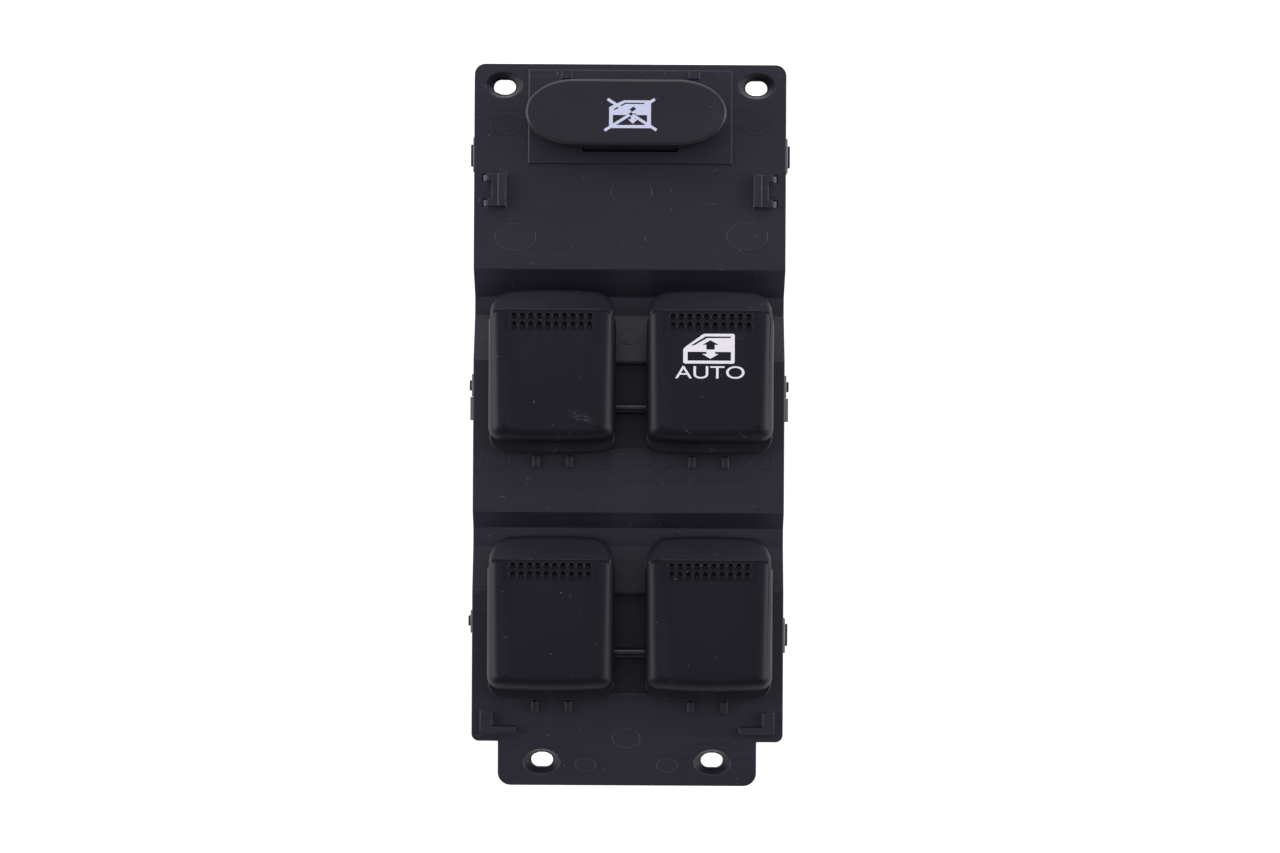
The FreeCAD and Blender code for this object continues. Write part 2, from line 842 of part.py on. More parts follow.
def connector_shell():
    """The open shell of the connector, with a roof that the pins pass through."""
    half_y = socket_width / 2
    cavity = box(-socket_length / 2, socket_length / 2, socket_y - half_y, socket_y + half_y,
                 0, board_z - socket_roof)
    holes = [pin(x, y, 0, board_z - socket_roof, board_z) for x, y in pin_places()]
    return socket_block(0, 0, board_z).cut(cavity).cut(Part.makeCompound(holes))


def connector_pins():
    """All pins of the connector as one group."""
    return Part.makeCompound([pin(x, y, 0, pin_tip_z, board_top + pin_tail) for x, y in pin_places()])


def circuit_board():
    """The board, with holes for the pins and the screws."""
    board = prism_z(case_outline(case_wall + board_clear, 0), board_z, board_top)
    holes = [pin(x, y, 0, board_z, board_top) for x, y in pin_places()]
    holes += [cylinder_z(screw_r + screw_hole_clear, x, y, board_z, board_top)
              for x, y in screw_places()]
    return board.cut(Part.makeCompound(holes))


def board_screws():
    """Hexagon-headed screws that hold the board on the posts."""
    corner_r = screw_head_across / 2 / math.cos(math.pi / 6)
    screws = []
    for x, y in screw_places():
        shank = cylinder_z(screw_r, x, y, board_top - screw_length, board_top + overlap)
        corners = [FreeCAD.Vector(x + corner_r * math.cos(i * math.pi / 3),
                                  y + corner_r * math.sin(i * math.pi / 3), 0) for i in range(6)]
        wire = Part.makePolygon(corners + corners[:1])
        head = prism_z(wire, board_top, board_top + screw_head_height)
        screws.append(head.fuse(shank).removeSplitter())
    return Part.makeCompound(screws)


def carrier_span(name):
    """Front and rear ends of a contact carrier."""
    rear, front = well_span(name)
    return rear - well_wall, front + well_wall


def slider_centre(side_x):
    """The X position of a cap's slider."""
    return side_x - slider_offset


def carrier(name):
    """A black frame on the board: it guides two sliders and holds the detent dishes."""
    rear, front = carrier_span(name)
    left = caps_x - well_half_width - carrier_margin
    right = caps_x + well_half_width + carrier_margin
    parts = [box(left, right, rear, front, board_top, carrier_top)]
    dish_reach = detent_pin_end + detent_clear
    for centre in sides.values():
        parts.append(box(centre - dish_width / 2, centre + dish_width / 2, pivots[name] - slider_length / 2,
                         pivots[name] + slider_length / 2, carrier_top - overlap, carrier_top + dish_rise))
    whole = fused(parts)
    flange = slider_flange_width / 2 + slider_clear
    neck = slider_neck_width / 2 + slider_clear
    flange_top = slider_bottom + slider_flange_thickness + slider_clear
    start = rear - beyond
    over = carrier_top + dish_rise + beyond
    end = pivots[name] + slider_length / 2 + math.radians(cap_travel_deg) * arm_reach + slider_room
    for centre in sides.values():
        x = slider_centre(centre)
        dish = cylinder_x(dish_reach, centre - dish_width, centre + dish_width, pivots[name], pivot_z)
        whole = whole.cut(box(x - neck, x + neck, start, end, board_top - beyond, over))
        whole = whole.cut(box(x - flange, x + flange, start, end, slider_bottom - slider_clear, flange_top))
        whole = whole.cut(dish)
    return whole


def fixed_contacts(name):
    """Three contact pads on the board under each slider of a pair."""
    pads = []
    for centre in sides.values():
        x = slider_centre(centre)
        for step in (-1, 0, 1):
            y = pivots[name] + step * pad_pitch
            pads.append(box(x - pad_width / 2, x + pad_width / 2, y - pad_length / 2, y + pad_length / 2,
                            board_top, pad_top))
    return Part.makeCompound(pads)


def slider(centre, y):
    """A contact slider: a flanged block with a cross slot for the cap's arm."""
    x = slider_centre(centre)
    flange = slider_flange_width / 2
    neck = slider_neck_width / 2
    half = slider_length / 2
    top = slider_bottom + slider_height
    flange_top = slider_bottom + slider_flange_thickness
    block = box(x - flange, x + flange, y - half, y + half, slider_bottom, flange_top)
    block = block.fuse(box(x - neck, x + neck, y - half, y + half, slider_bottom, top))
    slot = arm_tip_half + slider_slot_clear
    floor_z = pivot_z - arm_reach - arm_tip_half - slider_slot_clear
    return block.cut(box(x - flange, x + flange, y - slot, y + slot, floor_z, top)).removeSplitter()


def wiper(centre, y):
    """A bent copper strip under the slider, with an arm to each side."""
    x = slider_centre(centre)
    high = slider_bottom
    low = pad_top + wiper_gap
    half = wiper_length / 2
    waist = wiper_seat_length / 2
    heel = half - wiper_toe
    points = [(-waist, high), (waist, high), (heel, low + wiper_thickness),
              (half, low + 2 * wiper_thickness), (half, low + wiper_thickness), (heel, low),
              (waist, high - wiper_thickness),
              (-waist, high - wiper_thickness), (-heel, low), (-half, low + wiper_thickness),
              (-half, low + 2 * wiper_thickness), (-heel, low + wiper_thickness)]
    return prism_x([(y + along, z) for along, z in points], x - wiper_width / 2, x + wiper_width / 2)


def cap_shell():
    """The outside of a rocker cap: rim, sloping nose and filleted top, about its shaft's axis."""
    rim_plan = bowed_outline(cap_width, cap_rear, loaf_front, cap_corner_r, end_bow)
    rim = prism_z(rim_plan, cap_rim_bottom, cap_rim_bottom + rim_height)
    nose_plan = bowed_outline(cap_width - 2 * nose_inset, cap_rear, cap_front, nose_corner_r, end_bow)
    nose_top = cap_top - cap_edge_r / 2
    lip_top = cap_rim_bottom + nose_lip
    nose = prism_z(nose_plan, cap_rim_bottom, cap_top)
    far = cap_rear + cap_front
    over = cap_top + beyond
    slope = [(cap_front, lip_top), (loaf_front, nose_top), (-far, nose_top), (-far, over),
             (far, over), (far, lip_top)]
    nose = nose.cut(prism_x(slope, -cap_width, cap_width))
    nose = nose.cut(box(-cap_width, cap_width, -far, 0, 0, over))
    half = cap_width / 2
    loaf = box(-half, half, -loaf_rear, loaf_front, cap_rim_bottom, cap_top)
    loaf = loaf.makeFillet(cap_edge_r, edges_at_height(loaf, cap_top))
    loaf_plan = bowed_outline(cap_width, loaf_rear, loaf_front, cap_corner_r, end_bow)
    loaf = loaf.common(prism_z(loaf_plan, cap_rim_bottom, cap_top))
    brow_front = loaf_front + brow_overhang
    brow = box(-brow_width / 2, brow_width / 2, brow_front - brow_length, brow_front,
               cap_top - 2 * cap_roof, cap_top)
    front_edge = [edge for edge in edges_at_height(brow, cap_top)
                  if abs(edge.CenterOfMass.y - brow_front) < 0.001]
    brow = brow.makeFillet(brow_edge_r, front_edge)
    return fused([loaf, nose, rim, brow])


def cap_hollow():
    """The space inside a cap, with a shallower pocket under the nose."""
    half = cap_width / 2 - cap_wall
    main = box(-half, half, cap_wall - loaf_rear, loaf_front - cap_wall, 0, cap_top - cap_roof)
    narrow = half - nose_corner_r
    pocket = box(-narrow, narrow, loaf_front - 2 * cap_wall, cap_front - 2 * cap_wall,
                 0, cap_rim_bottom + rim_height)
    return main.fuse(pocket)


def grip_pit(x, y):
    """One pit of the grip field, a small inverted pyramid."""
    top = cap_top + overlap
    grow = (pit_depth + overlap) / pit_depth
    corners = [FreeCAD.Vector(x + i * pit_size_x / 2 * grow, y + j * pit_size_y / 2 * grow, top)
               for i, j in ((-1, -1), (1, -1), (1, 1), (-1, 1))]
    tip = FreeCAD.Vector(x, y, cap_top - pit_depth)
    faces = [Part.Face(Part.makePolygon(corners + corners[:1]))]
    for i in range(4):
        faces.append(Part.Face(Part.makePolygon([corners[i], corners[i - 1], tip, corners[i]])))
    return Part.Solid(Part.Shell(faces))


def grip_rows():
    """The small pits on the brow, one compound for each row."""
    first_x = -(pit_columns - 1) / 2 * pit_pitch_x
    first_y = loaf_front + brow_overhang - brow_edge_r - pit_size_y / 2
    rows = []
    for row in range(pit_rows):
        y = first_y - row * pit_pitch_y
        rows.append(Part.makeCompound([grip_pit(first_x + column * pit_pitch_x, y)
                                       for column in range(pit_columns)]))
    return rows


def hanging_web(x0, x1, half_top):
    """A web that hangs from the cap's roof to just below the shaft."""
    roof = cap_top - cap_roof + overlap
    return prism_x([(-half_top, roof), (half_top, roof), (hub_half, 0), (hub_half, -hub_half),
                    (-hub_half, -hub_half), (-hub_half, 0)], x0, x1)


def drive_arm():
    """The arm that reaches down to the slider, with an eight-sided tip."""
    x0 = -arm_offset - arm_thickness / 2
    x1 = x0 + arm_thickness
    arm = prism_x([(-arm_root_half, 0), (arm_root_half, 0), (arm_neck_half, -arm_reach),
                   (-arm_neck_half, -arm_reach)], x0, x1)
    side = arm_tip_half * math.tan(math.pi / 8)
    tip = prism_x([(y, z - arm_reach) for y, z in (
        (-arm_tip_half, -side), (-side, -arm_tip_half), (side, -arm_tip_half), (arm_tip_half, -side),
        (arm_tip_half, side), (side, arm_tip_half), (-side, arm_tip_half), (-arm_tip_half, side))], x0, x1)
    return fused([arm, tip])


def rocker_cap():
    """A whole rocker cap about its shaft's axis."""
    shell = cap_shell().cut(cap_hollow())
    for pits in grip_rows():
        shell = shell.cut(pits)
    inner = [hanging_web(side * ear_offset - ear_thickness / 2, side * ear_offset + ear_thickness / 2,
                         hub_half + ear_flare) for side in (-1, 1)]
    inner.append(hanging_web(-arm_offset - arm_thickness / 2, hub_right, hub_half + ear_flare))
    inner.append(box(-hub_half, hub_half, -hub_half, hub_half, -detent_tube_end, 0))
    inner.append(drive_arm())
    whole = fused([shell] + inner)
    window = shaft_r + window_clear
    passage = box(-arm_offset - arm_thickness, hub_right + beyond, -window, window, -window, window)
    bores = [cylinder_x(shaft_r + running_clear, side * ear_offset - ear_thickness,
                        side * ear_offset + ear_thickness, 0, 0) for side in (-1, 1)]
    bore_half = detent_pin_half + running_clear
    pocket = box(-bore_half, bore_half, -bore_half, bore_half,
                 -detent_tube_end - beyond, -detent_bore_top)
    return whole.cut(passage).cut(Part.makeCompound(bores)).cut(pocket)


def detent_pin():
    """The square detent pin with a blunt wedge at its lower end, about the shaft's axis."""
    half = detent_pin_half
    low = -detent_pin_end
    return prism_x([(-half / 3, low), (half / 3, low), (half, low + half), (half, low + detent_pin_length),
                    (-half, low + detent_pin_length), (-half, low + half)], -half, half)


def detent_spring():
    """The spring between the detent pin and the end of its bore."""
    radius = detent_pin_half - detent_spring_wire / 2
    return coil(radius, detent_spring_wire, detent_spring_turns, -detent_pin_end + detent_pin_length,
                -detent_bore_top, 0, 0)


def lock_button():
    """The lock button: an oval head on a hollow block with side stops and a stem socket."""
    low = lock_top_z - lock_head_height
    head = prism_z(oval(lock_length, lock_width, lock_head_shift, lock_y), low, lock_top_z)
    head = head.makeChamfer(lock_bevel, edges_at_height(head, lock_top_z))
    room_x = (lock_length - oval_stretch * lock_width) / 2 + lock_wall
    room_y = lock_width / 2 - lock_wall
    room = box(lock_head_shift - room_x, lock_head_shift + room_x, lock_y - room_y, lock_y + room_y,
               low, lock_top_z - lock_roof)
    half_x = block_width / 2
    half_y = lock_width / 2
    roof = lock_top_z - lock_roof
    block = box(-half_x, half_x, lock_y - half_y, lock_y + half_y, block_bottom_z, roof + overlap)
    hollow = box(-half_x + block_wall, half_x - block_wall, lock_y - half_y + block_wall,
                 lock_y + half_y - block_wall, block_bottom_z, roof)
    post_half = lock_stem / 2 + block_wall
    post = box(-post_half, post_half, lock_y - post_half, lock_y + post_half,
               block_bottom_z, roof + overlap)
    stop_top = shelf_z - plate_wall - stop_gap
    stops = box(-half_x - stop_reach, half_x + stop_reach, lock_y - stop_length / 2,
                lock_y + stop_length / 2, stop_top - stop_height, stop_top).cut(hollow)
    whole = fused([head.cut(room), block.cut(hollow), post, stops])
    half_stem = lock_stem / 2
    socket = box(-half_stem, half_stem, lock_y - half_stem, lock_y + half_stem, block_bottom_z,
                 block_bottom_z + lock_stem_socket)
    return whole.cut(socket)


def lock_plunger():
    """The square plunger between the button and its switch."""
    half = lock_stem / 2
    return box(-half, half, lock_y - half, lock_y + half,
               lock_stem_bottom_z, block_bottom_z + lock_stem_socket)


def lock_switch_base():
    """The body of the lock switch, with a square well for the plunger."""
    width, depth, height = lock_base_size
    body = box(-width / 2, width / 2, lock_y - depth / 2, lock_y + depth / 2,
               board_top, board_top + height)
    half = lock_stem / 2 + lock_stem_clear
    floor_z = lock_stem_bottom_z - lock_travel - lock_bottom_clear
    return body.cut(box(-half, half, lock_y - half, lock_y + half, floor_z, board_top + height))


def lock_spring():
    """The spring that returns the lock button."""
    return coil(lock_spring_r, lock_spring_wire, lock_spring_turns, board_top + lock_base_size[2],
                block_bottom_z, 0, lock_y)


def block_on_board(size, place):
    """A plain moulded component on the board, with a small bevel round its top."""
    width, depth, height = size
    x, y = place
    body = box(x - width / 2, x + width / 2, y - depth / 2, y + depth / 2,
               board_top, board_top + height)
    bevel = min(moulding_bevel, height / 4)
    return body.makeChamfer(bevel, edges_at_height(body, board_top + height))


def control_chip():
    """The control chip with a row of legs on two sides."""
    width, depth, height = chip_size
    body = block_on_board(chip_size, chip_place)
    x, y = chip_place
    pitch = depth / chip_legs
    reach = width / 2 + chip_leg_length
    half = chip_leg_width / 2
    legs = []
    for i in range(chip_legs):
        along = y + (i - (chip_legs - 1) / 2) * pitch
        legs.append(box(x - reach, x + reach, along - half, along + half, board_top, board_top + height / 2))
    return fused([body] + legs)


def capacitor():
    """A round capacitor can."""
    x, y = capacitor_place
    return cylinder_z(capacitor_r, x, y, board_top, board_top + capacitor_height)


def chip_resistors():
    """A row of small resistors."""
    width, depth, height = resistor_size
    x, y = resistor_place
    pieces = []
    for i in range(resistor_count):
        left = x + i * resistor_pitch - width / 2
        pieces.append(box(left, left + width, y - depth / 2, y + depth / 2,
                          board_top, board_top + height))
    return Part.makeCompound(pieces)


def placed(shape, x, y):
    """A copy of a shape made about the shaft's axis, moved to its shaft."""
    copy = shape.copy()
    copy.translate(FreeCAD.Vector(x, y, pivot_z))
    return copy


def build():
    """All sub-parts by name."""
    parts = {
        "top_plate": top_plate(),
        "bottom_case": bottom_case(),
        "circuit_board": circuit_board(),
        "board_screws": board_screws(),
        "connector_shell": connector_shell(),
        "connector_pins": connector_pins(),
        "control_chip": control_chip(),
        "capacitor": capacitor(),
        "chip_resistors": chip_resistors(),
        "lock_button": lock_button(),
        "lock_plunger": lock_plunger(),
        "lock_spring": lock_spring(),
        "lock_switch_base": lock_switch_base(),
    }
    for side, sign in (("left", -1), ("right", 1)):
        parts["relay_" + side] = block_on_board(relay_size, (sign * relay_x, relay_y))
    cap = rocker_cap()
    peg = detent_pin()
    spring = detent_spring()
    for name, y in pivots.items():
        parts["shaft_" + name] = shaft(name)
        parts["contact_carrier_" + name] = carrier(name)
        parts["fixed_contacts_" + name] = fixed_contacts(name)
        for side, x in sides.items():
            tail = name + "_" + side
            parts["rocker_cap_" + tail] = placed(cap, x, y)
            parts["detent_pin_" + tail] = placed(peg, x, y)
            parts["detent_spring_" + tail] = placed(spring, x, y)
            parts["contact_slider_" + tail] = slider(x, y)
            parts["contact_wiper_" + tail] = wiper(x, y)
    return parts


os.makedirs("parts", exist_ok=True)
for node, shape in build().items():
    shape.exportStep("parts/" + node + ".step")
    box_of = shape.BoundBox
    print(node, len(shape.Solids), shape.isValid(), round(shape.Volume, 1),
          [round(v, 2) for v in (box_of.XMin, box_of.YMin, box_of.ZMin)],
          [round(v, 2) for v in (box_of.XMax, box_of.YMax, box_of.ZMax)])
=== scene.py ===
import math

import bmesh
import bpy
from mathutils import Matrix, Vector


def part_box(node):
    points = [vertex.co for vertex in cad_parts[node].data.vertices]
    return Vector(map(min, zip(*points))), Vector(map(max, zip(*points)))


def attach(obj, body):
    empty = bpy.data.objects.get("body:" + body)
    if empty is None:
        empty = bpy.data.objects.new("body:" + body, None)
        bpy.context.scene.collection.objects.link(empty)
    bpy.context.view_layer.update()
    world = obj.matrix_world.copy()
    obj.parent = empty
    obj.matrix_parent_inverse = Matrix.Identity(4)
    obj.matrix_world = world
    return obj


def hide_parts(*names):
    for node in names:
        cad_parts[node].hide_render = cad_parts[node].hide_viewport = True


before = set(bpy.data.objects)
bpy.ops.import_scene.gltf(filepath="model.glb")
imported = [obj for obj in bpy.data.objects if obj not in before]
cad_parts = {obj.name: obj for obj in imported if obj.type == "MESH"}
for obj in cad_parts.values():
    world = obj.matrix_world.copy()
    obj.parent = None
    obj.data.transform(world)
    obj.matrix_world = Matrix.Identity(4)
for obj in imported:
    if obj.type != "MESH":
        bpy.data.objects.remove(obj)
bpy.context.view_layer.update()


# The studio: a pale table, a pale surround and three broad soft lamps. The surround is bright at
# the sides and beyond the lock end, dimmer overhead, and dark on the rear side but for its lowest
# part. The camera hangs straight above, as in the photograph.
MM = 0.001
table_gap = 0.05 * MM
table_glow = 0.75
overhead_light = 0.52
rear_light = 0.06
low_rear_light = 0.8
lamp_width = 1.0
lamp_depth = 0.75
# Each lamp has its name, its place in metres and its power in watts.
lamps = (("lamp_left", (-1.05, 0.12, 0.44), 8.9),
         ("lamp_right", (1.05, 0.12, 0.44), 8.9),
         ("lamp_far", (0.0, 1.45, 0.75), 6.5))
camera_place = (0.00226, -0.00024, 0.430)
camera_turn = 0.0055


def step(nodes, links, source, low, high, to_low=0.0, to_high=1.0):
    """Turns one range of a value into another, and stops at its ends."""
    ramp = nodes.new("ShaderNodeMapRange")
    ramp.inputs["From Min"].default_value = low
    ramp.inputs["From Max"].default_value = high
    ramp.inputs["To Min"].default_value = to_low
    ramp.inputs["To Max"].default_value = to_high
    links.new(source, ramp.inputs["Value"])
    return ramp.outputs["Result"]


def reckoned(nodes, links, way, *terms):
    """The result of one kind of sum on its terms, each a number or a node's output."""
    node = nodes.new("ShaderNodeMath")
    node.operation = way
    for socket, term in zip(node.inputs, terms):
        if isinstance(term, float):
            socket.default_value = term
        else:
            links.new(term, socket)
    return node.outputs[0]


floor_mesh = bpy.data.meshes.new("table_top")
floor_shape = bmesh.new()
bmesh.ops.create_grid(floor_shape, x_segments=1, y_segments=1, size=4.0)
bmesh.ops.translate(floor_shape, vec=(0, 0, -table_gap), verts=floor_shape.verts)
floor_shape.to_mesh(floor_mesh)
floor_shape.free()
table_top = bpy.data.objects.new("table_top", floor_mesh)
bpy.context.scene.collection.objects.link(table_top)

pale_table = bpy.data.materials.new("pale_table")
pale_table.use_nodes = True
table_nodes = pale_table.node_tree.nodes
table_links = pale_table.node_tree.links
table_shader = table_nodes["Principled BSDF"]
table_shader.inputs["Base Color"].default_value = (0.62, 0.62, 0.62, 1)
table_shader.inputs["Roughness"].default_value = 0.9
table_shader.inputs["Emission Color"].default_value = (1, 1, 1, 1)
table_rays = table_nodes.new("ShaderNodeLightPath")
table_seen = reckoned(table_nodes, table_links, "MAXIMUM",
                      table_rays.outputs["Is Camera Ray"], table_rays.outputs["Is Glossy Ray"])
table_links.new(reckoned(table_nodes, table_links, "MULTIPLY", table_seen, table_glow),
                table_shader.inputs["Emission Strength"])
# Seen from underneath the table is clear, and so it is for light that leaves the case's bottom.
table_side = table_nodes.new("ShaderNodeNewGeometry")
table_near = reckoned(table_nodes, table_links, "LESS_THAN",
                      table_rays.outputs["Ray Length"], 4 * table_gap)
table_clear = reckoned(table_nodes, table_links, "MAXIMUM",
                       table_side.outputs["Backfacing"], table_near)
table_links.new(reckoned(table_nodes, table_links, "SUBTRACT", 1.0, table_clear),
                table_shader.inputs["Alpha"])
floor_mesh.materials.append(pale_table)

surround = bpy.data.worlds.new("surround")
bpy.context.scene.world = surround
surround.use_nodes = True
sky_nodes = surround.node_tree.nodes
sky_links = surround.node_tree.links
sky_way = sky_nodes.new("ShaderNodeTexCoord")
sky_split = sky_nodes.new("ShaderNodeSeparateXYZ")
sky_rays = sky_nodes.new("ShaderNodeLightPath")
sky_links.new(sky_way.outputs["Generated"], sky_split.inputs[0])
# Z is the height over the horizon and Y the way to the lock end, both of a direction of length 1.
sky_level = step(sky_nodes, sky_links, sky_split.outputs["Z"], 0.0, 0.8, 1.0, overhead_light)
sky_side = step(sky_nodes, sky_links, sky_split.outputs["Y"], -0.36, -0.14, rear_light, 1.0)
sky_low = step(sky_nodes, sky_links, sky_split.outputs["Y"], -0.74, -0.9, 0.0, low_rear_light)
sky_open = reckoned(sky_nodes, sky_links, "MAXIMUM", sky_side, sky_low)
sky_both = reckoned(sky_nodes, sky_links, "MULTIPLY", sky_level, sky_open)
sky_strength = reckoned(sky_nodes, sky_links, "MAXIMUM",
                        sky_both, sky_rays.outputs["Is Camera Ray"])
sky_links.new(sky_strength, sky_nodes["Background"].inputs["Strength"])
sky_tint = sky_nodes.new("ShaderNodeMix")
sky_tint.data_type = "RGBA"
sky_tint.inputs["A"].default_value = (0.97, 0.93, 1.0, 1)
sky_tint.inputs["B"].default_value = (1, 1, 1, 1)
sky_links.new(sky_rays.outputs["Is Camera Ray"], sky_tint.inputs["Factor"])
sky_links.new(sky_tint.outputs["Result"], sky_nodes["Background"].inputs["Color"])

for lamp_name, lamp_place, lamp_power in lamps:
    lamp = bpy.data.lights.new(lamp_name, "AREA")
    lamp.shape = "RECTANGLE"
    lamp.size = lamp_width
    lamp.size_y = lamp_depth
    lamp.energy = lamp_power
    lamp.color = (0.98, 0.95, 1.0)
    lamp_object = bpy.data.objects.new(lamp_name, lamp)
    lamp_object.location = lamp_place
    lamp_object.rotation_euler = (-Vector(lamp_place)).to_track_quat("-Z", "Y").to_euler()
    bpy.context.scene.collection.objects.link(lamp_object)

camera_data = bpy.data.cameras.new("photo_camera")
camera_data.lens = 56.25
camera_data.sensor_width = 36.0
camera_data.clip_start = 0.01
photo_camera = bpy.data.objects.new("photo_camera", camera_data)
photo_camera.location = camera_place
photo_camera.rotation_euler = (0, 0, camera_turn)
bpy.context.scene.collection.objects.link(photo_camera)
bpy.context.scene.camera = photo_camera
bpy.context.scene.view_settings.view_transform = "Standard"


# The lower case: one tub moulded in grey plastic, with loops at its sides that snap over the
# plate's wedges. Its edges carry the small round that every moulding has.
def softened_copy(node, name, width, body, crease_deg=32.0, segments=2, tools=()):
    """A piece in place of a CAD node, cleaned, cut by its tools and with its edges rounded."""
    shape = bmesh.new()
    shape.from_mesh(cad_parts[node].data)
    bmesh.ops.remove_doubles(shape, verts=shape.verts, dist=0.002 * MM)
    bmesh.ops.dissolve_limit(shape, angle_limit=math.radians(0.5), use_dissolve_boundaries=False,
                             verts=shape.verts, edges=shape.edges, delimit=set())
    if tools:
        mesh = shaped(shape, tools)
        mesh.name = name
    else:
        mesh = bpy.data.meshes.new(name)
        shape.to_mesh(mesh)
        shape.free()
    mesh.shade_smooth()
    mesh.set_sharp_from_angle(angle=math.radians(crease_deg))
    piece = bpy.data.objects.new(name, mesh)
    bpy.context.scene.collection.objects.link(piece)
    rounding = piece.modifiers.new("rounded_edges", "BEVEL")
    rounding.width = width
    rounding.segments = segments
    rounding.limit_method = "ANGLE"
    rounding.angle_limit = math.radians(crease_deg)
    rounding.use_clamp_overlap = False
    flat_faces = piece.modifiers.new("flat_faces", "WEIGHTED_NORMAL")
    flat_faces.keep_sharp = True
    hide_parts(node)
    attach(piece, body)
    return piece


def surface_group(name, inputs, outputs):
    """An empty node group with its named number sockets."""
    group = bpy.data.node_groups.new(name, "ShaderNodeTree")
    for socket_name, start in inputs:
        socket = group.interface.new_socket(socket_name, in_out="INPUT",
                                            socket_type="NodeSocketFloat")
        socket.default_value = start
    for socket_name in outputs:
        group.interface.new_socket(socket_name, in_out="OUTPUT",
                                   socket_type="NodeSocketFloat")
    return group, group.nodes.new("NodeGroupInput"), group.nodes.new("NodeGroupOutput")


# Grain: the fine spark-eroded texture of the mould, and the broad faint clouds of its flow.
grain_group, grain_in, grain_out = surface_group(
    "mould_grain", (("Grains per metre", 5000.0), ("Clouds per metre", 110.0)),
    ("Grain", "Clouds"))
grain_place = grain_group.nodes.new("ShaderNodeTexCoord")
for size_name, out_name, detail in (("Grains per metre", "Grain", 2.0),
                                    ("Clouds per metre", "Clouds", 5.0)):
    grain_noise = grain_group.nodes.new("ShaderNodeTexNoise")
    grain_noise.inputs["Detail"].default_value = detail
    grain_group.links.new(grain_place.outputs["Object"], grain_noise.inputs["Vector"])
    grain_group.links.new(grain_in.outputs[size_name], grain_noise.inputs["Scale"])
    grain_group.links.new(grain_noise.outputs["Fac"], grain_out.inputs[out_name])

# Dust: sparse pale specks that lie on the plastic, a few of them larger than the rest, and here
# and there a short fibre.
dust_group, dust_in, dust_out = surface_group("dust_specks", (("Share", 0.3),), ("Specks",))
dust_place = dust_group.nodes.new("ShaderNodeTexCoord")
dust_layers = []
for cells_per_metre, speck_share in ((520.0, 0.042), (230.0, 0.024)):
    cells = dust_group.nodes.new("ShaderNodeTexVoronoi")
    cells.inputs["Scale"].default_value = cells_per_metre
    dust_group.links.new(dust_place.outputs["Object"], cells.inputs["Vector"])
    speck = step(dust_group.nodes, dust_group.links, cells.outputs["Distance"],
                 speck_share, speck_share * 0.6)
    pick = dust_group.nodes.new("ShaderNodeSeparateColor")
    dust_group.links.new(cells.outputs["Color"], pick.inputs[0])
    chosen = reckoned(dust_group.nodes, dust_group.links, "LESS_THAN",
                      pick.outputs[0], dust_in.outputs["Share"])
    dust_layers.append(reckoned(dust_group.nodes, dust_group.links, "MULTIPLY", speck, chosen))
fibre_path = dust_group.nodes.new("ShaderNodeTexNoise")
fibre_path.inputs["Scale"].default_value = 260.0
fibre_path.inputs["Detail"].default_value = 0.0
fibre_spot = dust_group.nodes.new("ShaderNodeTexNoise")
fibre_spot.inputs["Scale"].default_value = 520.0
fibre_spot.inputs["Detail"].default_value = 0.0
for fibre_noise in (fibre_path, fibre_spot):
    dust_group.links.new(dust_place.outputs["Object"], fibre_noise.inputs["Vector"])
fibre_line = reckoned(dust_group.nodes, dust_group.links, "COMPARE",
                      fibre_path.outputs["Fac"], 0.5, 0.005)
fibre_piece = step(dust_group.nodes, dust_group.links, fibre_spot.outputs["Fac"],
                   0.75, 0.79, 0.0, 0.3)
dust_layers.append(reckoned(dust_group.nodes, dust_group.links, "MULTIPLY",
                            fibre_line, fibre_piece))
dust_all = dust_layers[0]
for dust_layer in dust_layers[1:]:
    dust_all = reckoned(dust_group.nodes, dust_group.links, "MAXIMUM", dust_all, dust_layer)
dust_group.links.new(dust_all, dust_out.inputs["Specks"])

# Rub: edges that hands and packing have polished a little paler, broken up by noise.
rub_group, rub_in, rub_out = surface_group("edge_rub", (("Amount", 0.5),), ("Rub",))
rub_shape = rub_group.nodes.new("ShaderNodeNewGeometry")
rub_place = rub_group.nodes.new("ShaderNodeTexCoord")
rub_noise = rub_group.nodes.new("ShaderNodeTexNoise")
rub_noise.inputs["Scale"].default_value = 2600.0
rub_group.links.new(rub_place.outputs["Object"], rub_noise.inputs["Vector"])
rub_edge = step(rub_group.nodes, rub_group.links, rub_shape.outputs["Pointiness"], 0.52, 0.6)
rub_patchy = step(rub_group.nodes, rub_group.links, rub_noise.outputs["Fac"], 0.35, 0.6)
rub_mask = reckoned(rub_group.nodes, rub_group.links, "MULTIPLY", rub_edge, rub_patchy)
rub_mask = reckoned(rub_group.nodes, rub_group.links, "MULTIPLY",
                    rub_mask, rub_in.outputs["Amount"])
rub_group.links.new(rub_mask, rub_out.inputs["Rub"])


def placed_group(nodes, group, **values):
    """A node group in a material, with its own values."""
    node = nodes.new("ShaderNodeGroup")
    node.node_tree = group
    for label, value in values.items():
        node.inputs[label.replace("_", " ")].default_value = value
    return node


def blended(nodes, links, mask, below, above):
    """The upper colour over the lower one, where the mask says."""
    mix = nodes.new("ShaderNodeMix")
    mix.data_type = "RGBA"
    for label, value in (("A", below), ("B", above)):
        socket = [s for s in mix.inputs if s.name == label and s.type == "RGBA"][0]
        if isinstance(value, tuple):
            socket.default_value = (*value, 1)
        else:
            links.new(value, socket)
    links.new(mask, mix.inputs[0])
    return [s for s in mix.outputs if s.type == "RGBA"][0]


